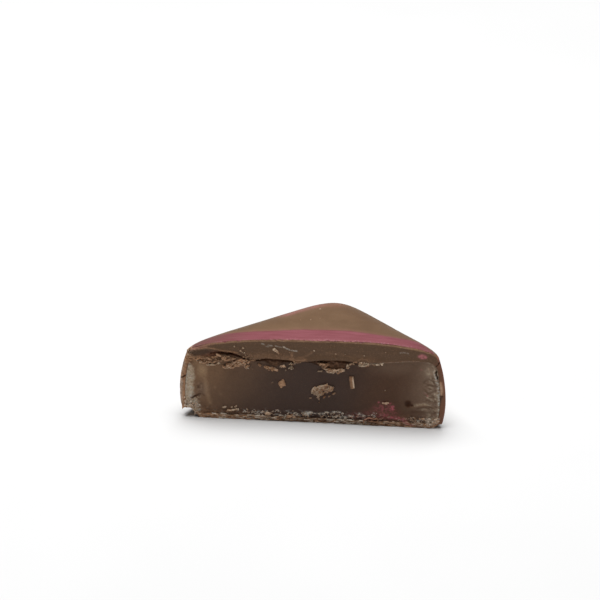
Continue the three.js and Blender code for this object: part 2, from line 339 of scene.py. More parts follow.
# A material whose colours come from build(place), where place is the position in mm. build returns the
# Principled shader's sockets.
def newMaterial(name, build):
    material = bpy.data.materials.new(name)
    material.use_nodes = True
    material.node_tree.nodes.clear()
    start = Wire(material.node_tree)
    where = start.node("ShaderNodeTexCoord", {}, {}, out="Object")
    place = start.node("ShaderNodeVectorMath", {"operation": "SCALE"}, {0: where, "Scale": 1000.0})
    shader = start.node("ShaderNodeBsdfPrincipled", {}, build(place))
    start.node("ShaderNodeOutputMaterial", {}, {"Surface": shader})
    return material


def rgb(red, green, blue):
    return (red, green, blue, 1.0)


chocolateFinish = {
    "colour": rgb(0.120, 0.065, 0.031),
    "light": rgb(0.138, 0.077, 0.038),
    "cut": rgb(0.119, 0.063, 0.032),
    "grain": rgb(0.10, 0.055, 0.035),
    "crumb": rgb(0.44, 0.235, 0.125),
    "dust": rgb(0.72, 0.66, 0.575),
    "warmDust": rgb(0.72, 0.57, 0.41),
    "blush": rgb(0.47, 0.155, 0.165),
    "red": rgb(0.205, 0.080, 0.040),
    "shade": rgb(0.045, 0.021, 0.011),
    "gloss": 0.28,
}


# Milk chocolate: soft clouds and a fine grain, lighter crumbs with painted highlights, pale dust, a pink
# blush and painted shade by masks.
def chocolate(place):
    finish = chocolateFinish
    cut, grainy = place.mask("cut"), place.mask("grainy")
    clouds = place.waves(0.22, 3.0)
    grain = place.waves(5.5, 4.0, 0.65)
    flecks = place.waves(5.0)
    specks = place.waves(4.4, 2.0, 0.6)
    dust = grainy.blend(finish["dust"], finish["warmDust"])
    colour = layered(clouds.between(0.35, 0.65).blend(finish["colour"], finish["light"]), [
        (cut * 0.9, finish["cut"]),
        (grain.between(0.3, 0.7) * 0.14, finish["grain"]),
        (flecks.between(0.52, 0.72) * (cut * 0.16 + 0.06), finish["crumb"]),
        (place.mask("red"), finish["red"]),
        (place.mask("crumb"), finish["crumb"]),
        (specks.between(0.52, 0.64) * grainy * 0.5, finish["crumb"]),
        (specks.between(0.43, 0.33) * grainy * 0.4, finish["shade"]),
        (place.mask("dust") * grain.between(0.32, 0.55), dust),
        (place.mask("blush"), finish["blush"]),
        (place.mask("shade"), finish["shade"]),
    ])
    relief = grain * (0.25 + cut * 0.75) + specks * grainy * 1.6
    soft = place.waves(0.9).bumped(0.10, 0.05)
    return {"Base Color": colour, "Roughness": 0.44 + clouds * 0.10 + cut * 0.12 + grain * 0.06,
            "Normal": relief.bumped(0.5, 0.03, soft), "Specular IOR Level": finish["gloss"]}


jellyFinish = {
    "core": rgb(0.069, 0.041, 0.031),
    "leftGlow": rgb(0.225, 0.125, 0.067),
    "rightGlow": rgb(0.095, 0.046, 0.0255),
    "endGlow": rgb(0.215, 0.138, 0.092),
    "pale": rgb(0.58, 0.46, 0.33),
    "brownSpeck": rgb(0.26, 0.17, 0.10),
    "grain": rgb(0.05, 0.03, 0.02),
    "stain": rgb(0.44, 0.11, 0.13),
    "dust": rgb(0.62, 0.58, 0.51),
    "amber": rgb(0.42, 0.265, 0.15),
    # the colour of painted shade in the slit, pits, cracks and crevice, and of dark marks
    "shadeAndDarkMarks": rgb(0.060, 0.024, 0.011),
    "gloss": 0.12,
    "depth": 0.12,
    "depthReach": (1.0, 0.45, 0.3),
    "depthScale": 0.0012,
}


# Jelly: dark and clear in the middle, warmer towards both ends, with pale ends, a pink stain, dust, and
# painted shade with dark marks.
def jelly(place):
    finish = jellyFinish
    pale, dusty = place.mask("pale"), place.mask("dust")
    grain = place.waves(4.0, 4.0, 0.6)
    clouds = place.waves(0.35, 3.0)
    brownSpecks = place.waves(6.0, 2.0, 0.6)
    colour = layered(place.mask("rightGlow").blend(finish["core"], finish["rightGlow"]), [
        (place.mask("endGlow"), finish["endGlow"]),
        (place.mask("leftGlow"), finish["leftGlow"]),
        (place.mask("amber"), finish["amber"]),
        (pale, finish["pale"]),
        (brownSpecks.between(0.52, 0.66) * pale * 0.45, finish["brownSpeck"]),
        (grain.between(0.3, 0.7) * 0.2, finish["grain"]),
        (place.waves(6.0).between(0.5, 0.7) * 0.10, finish["leftGlow"]),
        (place.mask("crumb"), chocolateFinish["crumb"]),
        (place.mask("stain"), finish["stain"]),
        (dusty, finish["dust"]),
        (place.mask("shadeAndDarkMarks"), finish["shadeAndDarkMarks"]),
    ])
    soft = place.waves(1.1, 3.0).bumped(0.25, 0.10)
    return {"Base Color": colour, "Roughness": 0.42 + clouds * 0.12 + pale * 0.2 + dusty * 0.25,
            "Normal": grain.bumped(0.4, 0.03, soft), "Specular IOR Level": finish["gloss"],
            "Subsurface Weight": finish["depth"], "Subsurface Radius": finish["depthReach"],
            "Subsurface Scale": finish["depthScale"]}


lustreFinish = {
    "colour": rgb(0.188, 0.041, 0.049),
    "bright": rgb(0.275, 0.083, 0.102),
    "sparkle": rgb(0.62, 0.40, 0.42),
    "bare": rgb(0.15, 0.075, 0.05),
    "metal": 0.45,
    "gloss": 0.5,
}


# Pink lustre dust: metallic, with fine streaks along the brush stroke and painted glints as pale specks.
def lustre(place):
    finish = lustreFinish
    fine = place.waves(1.0, 4.0, 0.7, stretch=(0.22, 7.0, 1.0))
    broad = place.waves(1.0, 2.0, 0.5, stretch=(0.10, 1.6, 0.5))
    speckle = place.waves(7.0)
    sparkle = place.waves(6.5, 1.0)
    colour = layered(fine.between(0.35, 0.68).blend(finish["colour"], finish["bright"]), [
        (broad.between(0.5, 0.75) * 0.35, finish["bright"]),
        (place.mask("thin") * fine.between(0.35, 0.6), finish["bare"]),
        # painted glints: pale specks, most along the front edge
        (sparkle.between(0.60, 0.72) * (place.mask("sparkle") * 0.7 + 0.06), finish["sparkle"]),
    ])
    return {"Base Color": colour, "Metallic": finish["metal"],
            "Roughness": 0.44 + fine * 0.12 + speckle * 0.06,
            "Normal": (fine + speckle * 0.5).bumped(0.5, 0.03), "Specular IOR Level": finish["gloss"]}


studio = {
    "floorReach": 1500,
    "floor": rgb(0.66, 0.66, 0.66),
    "floorClouds": rgb(0.67, 0.67, 0.67),
    "roomLight": 0.10,
    "lampPlace": (-0.05, 0.10, 0.75),
    "lampTarget": (0, 0, 0.01),
    "lampSize": 0.7,
    "lampPower": 10.5,
}


# A plain pale floor: two greys that hardly differ, in slow clouds.
def paleFloor(place):
    colour = place.waves(0.02).between(0.3, 0.7).blend(studio["floor"], studio["floorClouds"])
    return {"Base Color": colour, "Roughness": 0.9, "Specular IOR Level": 0.1}


def addStage():
    reach = studio["floorReach"]
    square = [(-reach, -reach, 0), (reach, -reach, 0), (reach, reach, 0), (-reach, reach, 0)]
    floor = makeObject("floor", square, [[[0, 1, 2, 3]]])
    setMaterial(floor, "floor", paleFloor)
    scene = bpy.context.scene
    scene.view_settings.view_transform = "Standard"
    scene.view_settings.look = "None"
    scene.world = bpy.data.worlds.new("room")
    scene.world.use_nodes = True
    background = scene.world.node_tree.nodes["Background"]
    background.inputs["Color"].default_value = rgb(1, 1, 1)
    background.inputs["Strength"].default_value = studio["roomLight"]
    data = bpy.data.lights.new("softbox", "AREA")
    data.shape, data.size, data.energy = "SQUARE", studio["lampSize"], studio["lampPower"]
    aimed("softbox", data, studio["lampPlace"], studio["lampTarget"])


# The whole chocolate's form

whole = {
    "halfSide": 16.54,
    "longSide": 0.033,
    "height": 14.33,
    "squareTurn": -0.066,
    "wallSquareness": 7.1,
    "domeSquareness": 2.5,
    "domeHeight": 2.63,
    "domePower": 3.2,
    "domeRoundness": 0.59,
    "topLean": 0.0235,
    "bulgeHeight": 4.8,
    "bulgeDrop": 0.0195,
    "footHeight": 1.2,
    "footInset": 0.8,
    "footPower": 2.5,
    "waviness": 0.05,
    "footLip": 0.3,
    "chipDepth": 0.15,
    "inset": 0.04,
    "pointsPerSide": 112,
}
shoulder = whole["height"] - whole["domeHeight"]
centreTurn = whole["squareTurn"] + math.pi / 4


# The distance from the middle to a rounded square: reach / (|cos|^n + |sin|^n)^(1/n), with one side a
# little longer than the other.
def outlineRadius(angle, reach, squareness):
    turned = angle - whole["squareTurn"] - math.pi / 4
    c = np.abs(np.cos(turned) / (1 + whole["longSide"])) ** squareness
    s = np.abs(np.sin(turned) / (1 - whole["longSide"])) ** squareness
    return reach / (c + s) ** (1 / squareness)


# How far the wall stands in from its widest: a parabola in z, and a rounded foot.
def wallInset(z):
    foot = np.clip(1 - np.asarray(z, float) / whole["footHeight"], 0, 1) ** whole["footPower"]
    return whole["bulgeDrop"] * (z - whole["bulgeHeight"]) ** 2 + whole["footInset"] * foot


shoulderReach = whole["halfSide"] - wallInset(shoulder)


# Angles round the square, closer together towards its corners: the arctangent of a sine along each side.
def outlineAngles(perSide):
    i = np.arange(perSide)
    along = np.arctan(np.sin((2 * i / perSide - 1) * math.pi / 2))
    onSquare = (np.arange(4)[:, None] * math.pi / 2 + along).ravel()
    u = np.cos(onSquare) * (1 + whole["longSide"])
    v = np.sin(onSquare) * (1 - whole["longSide"])
    return centreTurn + np.arctan2(v, u)


# Rings [ring, point, xyz] of a rounded square at given reach, height and squareness, leaning up along x.
def squareRings(angles, reach, z, squareness, lean, leanHeight):
    reach, z, squareness = (np.asarray(v, float)[:, None] for v in (reach, z, squareness))
    r = outlineRadius(angles[None, :], reach, squareness)
    x = r * np.cos(angles)
    return np.stack([x, r * np.sin(angles), z + lean * x * z / leanHeight], -1)


# How high and how square the top is where its outline has shrunk to a share of the shoulder's: its height
# is a power of a cosine, and its squareness falls off with the share squared.
def domeAt(share):
    turn = np.arcsin(np.clip(share, 0, 1) ** (whole["domePower"] / 2))
    z = shoulder + whole["domeHeight"] * np.cos(turn) ** (2 * whole["domeRoundness"])
    return z, whole["domeSquareness"] + (whole["wallSquareness"] - whole["domeSquareness"]) * share**2


# The skin of a dipped chocolate isn't even: slow waves, a thin foot where it stood to set, and chips down
# the left end of the cut. It moves the walls in or out and the top up or down.
def swell(points):
    x, y, z = np.moveaxis(points, -1, 0)
    r = np.hypot(x, y) + 1e-6
    up = smoothStep(10.8, 13.2, z)
    waves = noise(x * 0.16, y * 0.16, z * 0.22) + 0.4 * noise(x * 0.5, y * 0.5, z * 0.5)
    skin = whole["waviness"] * waves - whole["inset"]
    ragged = 0.55 + 0.6 * noise(x * 0.45, y * 0.45, 4.1) + 0.3 * noise(x * 1.3, y * 1.3, 8.2)
    foot = whole["footLip"] * smoothStep(1.5, 5.0, y) * np.clip(ragged, 0, 1) * hump(z, 0.32, 0.42)
    chips = noise(z * 0.9, y * 0.8, 5.5) + 0.6 * noise(z * 2.6, y * 1.6, 5.5) - 0.3
    chipped = smoothStep(1.4, 0.3, y) * smoothStep(-18.5, -19.5, x) * (z < 12)
    jagged = whole["chipDepth"] * np.clip(chips, 0, 1) * chipped
    out = skin * (1 - up) * smoothStep(0, 0.3, z) + foot - jagged
    return np.stack([x + x / r * out, y + y / r * out, z + skin * up], -1)


# Rings up from a flat underside, through the foot and the wall, and over the top to its pole.
def wholeChocolate():
    underside = np.array([0.02, 0.2, 0.4, 0.6, 0.8, 0.93])
    wallZ = np.concatenate([
        whole["footHeight"] * np.linspace(0, 1, 11)[:-1] ** 1.5,
        np.linspace(whole["footHeight"], shoulder, 37)[:-1],
    ])
    turn = np.concatenate([np.linspace(90, 12, 44), [9, 6.5, 4.2, 2.4, 1.1, 0.4, 0.1]])
    share = np.sin(np.radians(turn)) ** (2 / whole["domePower"])
    domeZ, domeSquare = domeAt(share)
    reach = np.concatenate([
        underside * (whole["halfSide"] - wallInset(0.0)),
        whole["halfSide"] - wallInset(wallZ),
        share * shoulderReach,
    ])
    z = np.concatenate([underside * 0, wallZ, domeZ])
    flat = np.full(len(underside) + len(wallZ), whole["wallSquareness"])
    rings = squareRings(outlineAngles(whole["pointsPerSide"]), reach, z, np.concatenate([flat, domeSquare]),
                        whole["topLean"], whole["height"])
    return ringSolid("chocolate_coat_piece", swell(rings))


# The height of the top above the plan point (x, y): the share of the outline that passes through it is
# found by halving, then the top's curve gives the height.
def topPoint(x, y):
    angle, r = np.arctan2(y, x), np.hypot(x, y)
    low, high = np.zeros(x.shape), np.ones(x.shape)
    for _ in range(30):
        share = (low + high) / 2
        z, squareness = domeAt(share)
        short = outlineRadius(angle, share * shoulderReach, squareness) < r
        low, high = np.where(short, share, low), np.where(short, high, share)
    z, _ = domeAt(high)
    return swell(np.stack([x, y, z + whole["topLean"] * x * z / whole["height"]], -1))


cutAcross = np.linspace(-20.2, 20.2, 405)
cutTop = topPoint(cutAcross, np.zeros(len(cutAcross)))[:, 2]

# The coat

# Lines on the cut that several lists use, as [x, z]: three cracks, the rim of the hollow, a bead and a fold
# on the thick top, and the line between the left wall and the jelly's pale end
wallCrack = [(-20.98, 6.9), (-20.7, 7.0), (-20.28, 7.26)]
shoulderCrack = [(-20.3, 10.85), (-19.7, 11.08), (-19.05, 11.2)]
tear = [(20.0, 11.5), (19.69, 10.98), (19.37, 10.72)]
hollowRim = [(-18.75, 11.9), (-17.8, 12.05), (-16.86, 12.28), (-15.67, 12.2), (-14.39, 11.93),
             (-12.77, 11.8), (-11.9, 11.62)]
bead = [(7.3, 11.3), (7.6, 11.5), (8.2, 11.56), (8.7, 11.4), (9.1, 11.12)]
fold = [(-2.5, 11.17), (-1.5, 11.4), (-0.7, 11.79), (0.1, 12.45)]
leftWallInner = [(-19.3, 10.6), (-19.41, 10.32), (-19.78, 9.08), (-20.06, 7.84), (-20.2, 7.08),
                 (-20.16, 5.95), (-20.37, 4.99), (-20.43, 4.04), (-20.53, 3.08), (-20.65, 1.64)]

coat = {
    "wallThickness": 0.68,
    "floorThickness": 0.75,
    "ceilingHeight": 10.8,
    "ceilingLean": 0.024,
    "pocketRound": 1.3,
    # the relief that cuts the face: left, right, low, high, step of its grid
    "reliefGrid": (-23, 23, -1.5, 16, 0.09),
    # how deep the parts of that relief are
    "bladeWaves": 0.13,
    "roughDepth": 0.10,
    "layerDepth": 0.16,
    "lipHeight": 0.13,
    "underLipDepth": 0.12,
    "upperEdgeRound": 0.22,
    "wallEdgeRound": 0.10,
    "wallLines": 0.09,
    "crevice": 0.16,
    # the lower edge of the thick top, as [x, z] in the cut
    "ceilingLine": [
        (-21, 10.35), (-12, 10.4), (-9.8, 10.44), (-8.6, 10.6), (-7.35, 10.9), (-5.65, 10.8),
        (-3.7, 10.72), (-3.06, 10.62), (-2.3, 10.45), (-1.6, 10.6), (-0.6, 10.66), (0.3, 10.8),
        (1.75, 11.0), (3.8, 11.05), (5.6, 11.0), (6.8, 10.82), (7.3, 10.75), (9.5, 10.85), (11.5, 11.05),
        (13.3, 11.25), (15.1, 11.45), (17, 11.55), (21, 11.6),
    ],
    # the hollow at the left, where the top has come away: its upper and lower edge, and its depth
    "hollowHigh": [
        (-19.3, 11.2), (-18.75, 11.75), (-17.8, 11.95), (-16.86, 12.15), (-15.67, 12.08), (-14.39, 11.82),
        (-12.77, 11.68), (-11.6, 11.3), (-10.6, 10.85), (-9.6, 10.55),
    ],
    "hollowLow": [
        (-19.3, 10.9), (-18.5, 10.6), (-16.9, 10.65), (-16.2, 10.55), (-15.7, 10.85), (-15.3, 11.2),
        (-14.65, 11.42), (-13.8, 11.36), (-12.77, 11.3), (-11.75, 10.98), (-10.75, 10.66), (-9.6, 10.5),
    ],
    "hollowDeep": [
        (-19.3, 0), (-18.6, 0.03), (-17, 0.08), (-16.2, 0.18), (-15, 0.28), (-13.3, 0.28), (-11.8, 0.2),
        (-10.7, 0.1), (-9.6, 0),
    ],
    # the broken lower corners: their outlines in the cut, and how far they go back
    "corner": [
        (-23, -1), (-17.6, -1), (-18.08, 0.06), (-18.54, 0.59), (-18.93, 1.07), (-19.04, 1.45),
        (-19.55, 1.54), (-20.13, 1.63), (-20.47, 1.65), (-20.8, 1.25), (-23, 1.4),
    ],
    "rightCorner": [
        (18.9, -1), (23, -1), (23, 0.7), (20.85, 0.6), (20.55, 0.5), (20.25, 0.74), (20.0, 0.72),
        (19.5, 0.3), (19.1, 0.05),
    ],
    "cornerDeep": 2.8,
    "rightCornerDeep": 1.7,
    # the crack that goes through the left wall: x, z, width, depth, height, turn
    "slot": (-21, 6.98, 1.5, 1.4, 0.1, -0.38),
    # grooves and ridges on the cut: [points, width, depth or height]
    "grooves": [
        ([(-16.1, 11.3), (-15.5, 11.43), (-14.65, 11.48), (-13.8, 11.34), (-12.77, 11.34),
          (-11.75, 11.02), (-10.75, 10.7), (-10.2, 10.62)], 0.14, 0.3),
        (shoulderCrack, 0.14, 0.08), (wallCrack, 0.11, 0.5), (tear, 0.12, 0.25),
        ([(20.05, 5.62), (20.6, 5.66)], 0.2, 0.16),
        ([(20.1, 5.45), (20.3, 5.1), (20.25, 4.6)], 0.24, 0.12),
    ],
    "ridges": [
        (hollowRim, 0.17, 0.13),
        ([(-8.4, 13.5), (-6.7, 13.15), (-5.1, 12.96), (-3.9, 12.71), (-2.5, 12.43)], 0.16, 0.05),
        (bead, 0.14, 0.07),
        ([(11.4, 11.08), (13.3, 11.27), (15.1, 11.47), (16.9, 11.56), (18.25, 11.25), (18.98, 10.77)],
         0.15, 0.06),
        (fold, 0.2, 0.04),
    ],
    # painted shade in the hollow, under the lower edge of the top and in the tears and cracks; whitish
    # scrapes; and lighter lines, partly painted highlights on rims and ridges, partly lighter chocolate:
    # [points, width, strength]
    "shades": [
        ([(-16.9, 11.75), (-15.7, 11.75), (-14.4, 11.6), (-13.0, 11.4), (-11.9, 11.1)], 0.42, 0.62),
        ([(-18.6, 11.25), (-17.2, 11.45), (-15.9, 11.65)], 0.6, 0.72),
        ([(-11.9, 11.1), (-10.75, 10.72), (-10.1, 10.62)], 0.25, 0.6),
        ([(-9.9, 10.45), (-8.6, 10.6), (-7.3, 10.85), (-5.6, 10.8), (-3.9, 10.68)], 0.16, 0.45),
        ([(-1.4, 10.62), (0.3, 10.8), (1.75, 11.0), (3.8, 11.05), (5.6, 11.0), (6.9, 10.85)], 0.16, 0.16),
        ([(20.0, 5.66), (20.62, 5.6), (20.3, 5.1), (20.25, 4.5)], 0.3, 0.7), (tear, 0.16, 0.6),
        (wallCrack, 0.12, 0.7), (shoulderCrack, 0.18, 0.4),
    ],
    "scrapes": [
        ([(-8.0, 13.4), (-7.6, 13.32)], 0.13, 0.5), ([(-6.95, 13.2), (-6.4, 13.1)], 0.14, 0.55),
        ([(-5.8, 13.12), (-5.4, 13.02)], 0.12, 0.45), ([(-5.2, 12.99), (-4.9, 12.93)], 0.12, 0.5),
        ([(-4.55, 13.02), (-4.3, 12.9)], 0.16, 0.9), ([(-4.1, 12.78), (-3.6, 12.56)], 0.14, 0.75),
        ([(-3.4, 12.5), (-2.45, 12.42)], 0.14, 0.75), ([(-7.4, 13.0), (-6.9, 12.9)], 0.10, 0.3),
        ([(9.1, 10.72), (10.2, 10.8), (11.4, 10.96)], 0.15, 0.95),
        ([(11.2, 10.96), (13.3, 11.22), (15.1, 11.42), (16.9, 11.5)], 0.11, 0.3),
        ([(13.9, 12.95), (14.6, 13.0), (15.1, 12.9)], 0.16, 0.3),
        ([(20.25, 7.7), (20.42, 6.9), (20.36, 6.0)], 0.3, 0.22),
        ([(-20.74, 6.1), (-20.88, 5.4)], 0.14, 0.5), ([(-21.05, 6.7), (-20.7, 6.8)], 0.12, 0.4),
        ([(-20.95, 5.6), (-20.9, 3.2)], 0.25, 0.4), ([(-19.5, 12.35), (-19.85, 11.4)], 0.35, 0.45),
        ([(-20.9, 8.2), (-21.0, 7.4)], 0.2, 0.3),
    ],
    "highlightsAndPaleLines": [
        (hollowRim, 0.18, 0.40), (bead, 0.13, 0.30),
        ([(6.4, 11.5), (7.8, 11.75), (9.4, 11.5)], 0.8, 0.09),
        ([(10.4, 10.98), (13.3, 11.22), (15.1, 11.42), (16.9, 11.5), (18.25, 11.2)], 0.2, 0.32),
        (fold, 0.22, 0.2), ([(-3.2, 12.1), (-3.3, 11.5), (-3.1, 11.0)], 0.3, 0.3),
        ([(-3.4, 11.0), (-2.6, 10.75), (-1.9, 10.75), (-1.2, 10.9)], 0.4, 0.5),
        ([(-9.0, 11.2), (-7.2, 11.3), (-5.4, 11.25), (-3.6, 11.1)], 0.7, 0.18),
        ([(2.2, 12.35), (3.7, 12.25), (5.2, 12.05), (6.4, 11.65)], 0.22, 0.14),
        ([(20.2, 7.9), (20.4, 6.9), (20.35, 5.9)], 0.42, 1.25),
        ([(-19.4, 12.4), (-19.75, 11.5), (-20.0, 10.9)], 0.55, 0.75),
    ],
    # painted spots: x, z, width along x, width along z, strength
    "pinkPatch": [
        (17.35, 12.5, 0.55, 0.42, 1.7), (16.95, 12.45, 0.35, 0.34, 1.4), (17.8, 12.38, 0.34, 0.34, 1.6),
        (17.35, 12.22, 0.5, 0.26, 1.5),
    ],
    "knob": [(-19.65, 11.8, 0.6, 1.0, 1.0)],
    # a pink trace near the back corner, in plan: [x, y]
    "pinkTrace": [(-5.6, 12.2), (-4.1, 13.5), (-2.6, 14.8), (-1.2, 15.9)],
    "backCorner": (1.5, 17.5),
}


# How far the measured line lifts the plain, leaning ceiling: their difference, fading out further down.
def ceilingLift(x, z):
    plain = coat["ceilingHeight"] + coat["ceilingLean"] * x
    return (traced(coat["ceilingLine"], x, 0.3) - plain) * smoothStep(6.0, 10.6, z)


# A block that follows the walls at a distance inside them, its upper and lower edges rounded by quarter
# circles, and its top raised to the measured line.
def innerBlock(name, inside, bottom, top, edgeRound, perSide=40, steps=8):
    turn = np.linspace(0, math.pi / 2, steps + 1)
    wall = np.linspace(bottom + edgeRound, top - edgeRound, 14)[1:-1]
    plateau = np.linspace(0.02, 1, 34)[:-1]
    z = np.concatenate([
        np.full(len(plateau), bottom), bottom + edgeRound * (1 - np.cos(turn)), wall,
        top - edgeRound * (1 - np.sin(turn)), np.full(len(plateau), top),
    ])
    inset = np.concatenate([
        np.full(len(plateau), edgeRound), edgeRound * (1 - np.sin(turn)), wall * 0,
        edgeRound * (1 - np.cos(turn)), np.full(len(plateau), edgeRound),
    ])
    around = whole["halfSide"] - wallInset(np.maximum(z, whole["footHeight"])) - inside - inset
    shrink = np.concatenate([plateau, np.ones(len(turn) * 2 + len(wall)), plateau[::-1]])
    squareness = np.full(len(z), whole["wallSquareness"])
    rings = squareRings(outlineAngles(perSide), around * shrink, z, squareness,
                        coat["ceilingLean"], coat["ceilingHeight"])
    rings[..., 2] += ceilingLift(rings[..., 0], rings[..., 2])
    return ringSolid(name, rings)


# How far a point of the cut is inside the coat's outer edge, left or right.
def edgeDistance(x, z):
    side = np.where(x > 0, 0.0, math.pi)
    return outlineRadius(side, whole["halfSide"] - wallInset(z), whole["wallSquareness"]) - np.abs(x)


# How far a point of the cut is below the top.
def belowTop(x, z):
    return np.interp(x, cutAcross, cutTop) - z


# The depth of the hollow at the left: it deepens from its upper edge down, and ends steeply below.
def hollowDepth(x, z):
    high = traced(coat["hollowHigh"], x, 0.2)
    low = traced(coat["hollowLow"], x, 0.2) + 0.05 * noise(x * 2.5, 3.3)
    t = np.clip((high - z) / np.maximum(high - low, 0.05), 0, 1)
    return traced(coat["hollowDeep"], x, 0.3) * t**0.8 * smoothStep(low - 0.16, low + 0.02, z)


# A crack that wanders along the floor between the jelly and the chocolate under it. On the jelly, painted
# shade follows it.
def floorCrevice(x, z):
    line = 0.92 + 0.10 * noise(x * 0.9, 4.2) + 0.05 * noise(x * 2.8, 4.2)
    shallow = 0.07 * smoothStep(-3, -7, x) * smoothStep(-14, -10, x)
    deep = shallow + coat["crevice"] * smoothStep(-6, -1, x) * smoothStep(13, 9, x)
    return deep * (0.75 + 0.5 * noise(x * 0.6, 9.2)) * hump(z, line, 0.17) * smoothStep(-18.3, -17.4, x)


# The depth of the chocolate's cut behind y = 0: long soft waves from the blade, fine drag lines, a lip
# along the lower edge of the top, a rounded upper edge, the hollow, grooves, ridges and rough layers.
def chocolateRelief(x, z):
    under, edge = belowTop(x, z), edgeDistance(x, z)
    ceiling = traced(coat["ceilingLine"], x, 0.3)
    waves = coat["bladeWaves"] * noise(x * 0.22, z * 0.5, 3.1) + 0.06 * noise(x * 0.8, z * 1.3, 7.7)
    drag = 0.022 * noise(x * 0.7, z * 5.0 + x * 0.7, 1.2) + 0.02 * noise(x * 3.5, z * 3.5, 2.2)
    crumbly = smoothStep(-1.5, -6, x) * smoothStep(12.4, 11.4, z) + smoothStep(-18.6, -19.4, x)
    rough = coat["roughDepth"] * roughNoise(x * 1.9, z * 2.4, 5.2, 3) * np.clip(crumbly, 0, 1)
    layers = coat["layerDepth"] * noise(x * 0.5, z * 4.5, 4.2) + 0.05 * noise(x * 3, z * 7, 4.2)
    layers = layers * smoothStep(-11, -13, x) * smoothStep(11.3, 10.9, z) * smoothStep(9.5, 10, z)
    lip = -coat["lipHeight"] * hump(z, ceiling + 0.3, 0.6) * smoothStep(-13, -10, x)
    lip = lip * (1 - 0.7 * smoothStep(8, 14, x))
    underLip = coat["underLipDepth"] * smoothStep(0.16, -0.05, z - ceiling - 0.06 * noise(x * 3.1, 2.0))
    underLip = underLip * smoothStep(9, 7, x) * smoothStep(-11.5, -10, x)
    upperEdge = coat["upperEdgeRound"] * (1 - smoothStep(0.0, 0.28, under + 0.06 * noise(x * 2.2, 0.5)))
    floor = smoothStep(1.7, 0.9, z) * smoothStep(19.8, 18.5, np.abs(x)) * (
        0.11 * noise(x * 0.7, z * 4.5, 5.5) + 0.08 * noise(x * 2.6, z * 7, 6.5) - 0.04)
    wallEdge = coat["wallEdgeRound"] * smoothStep(0.35, 0.0, edge)
    upright = coat["wallLines"] * noise(x * 3.2, z * 0.7, 2.6) * smoothStep(1.3, 0.9, edge)
    upright = upright * (x < 0) * (z < 10.5)
    cut = drawn(x, z, coat["grooves"]) + drawn(x, z, [(leftWallInner, 0.14, 0.05)]) + floorCrevice(x, z)
    return (waves + drag + rough + layers + lip + underLip + upperEdge + floor + wallEdge + upright + cut
            + hollowDepth(x, z) - drawn(x, z, coat["ridges"]))


# A box about (x, 0, z), turned about Y, to cut a slot with.
def slot(x, z, width, depth, tall, turn):
    corners = np.array([(a, b, c) for c in (-0.5, 0.5) for b in (-0.5, 0.5) for a in (-0.5, 0.5)])
    across, back, up = (corners * (width, depth, tall)).T
    turned = np.stack([
        across * math.cos(turn) + up * math.sin(turn) + x, back,
        up * math.cos(turn) - across * math.sin(turn) + z,
    ], -1)
    faces = [(0, 2, 3, 1), (4, 5, 7, 6), (0, 1, 5, 4), (2, 6, 7, 3), (0, 4, 6, 2), (1, 3, 7, 5)]
    return makeObject("slot", turned, [faces])


# A broken corner: its outline in the cut is carried back while it shrinks towards its outer side and the
# floor, and roughened.
def brokenCorner(outline, deep):
    outline = np.array(outline, float)
    outer = outline[np.abs(outline[:, 0]).argmax(), 0]
    ahead = np.roll(outline, -1, axis=0)
    steps = np.arange(0, 1, 0.1)[:, None, None]
    fine = (outline + (ahead - outline) * steps).transpose(1, 0, 2).reshape(-1, 2)[::-1]
    back = np.linspace(-1, deep, 30)[:, None]
    taper = 1 - 0.3 * ((back + 1) / (deep + 1)) ** 2
    x = outer + (fine[:, 0] - outer) * taper
    z = np.where(fine[:, 1] < 0, fine[:, 1] + 0 * back, fine[:, 1] * taper)
    jag = 0.22 * noise(x * 1.7, z * 1.7, back * 1.3) + 0.12 * noise(x * 4.5, z * 4.5, back * 4)
    rings = np.stack([x + jag, back + 0 * x, z + 0.5 * jag * (z > 0)], -1)
    return ringSolid("corner", rings)


def brokenCorners():
    return [brokenCorner(coat["corner"], coat["cornerDeep"]),
            brokenCorner(coat["rightCorner"], coat["rightCornerDeep"])]


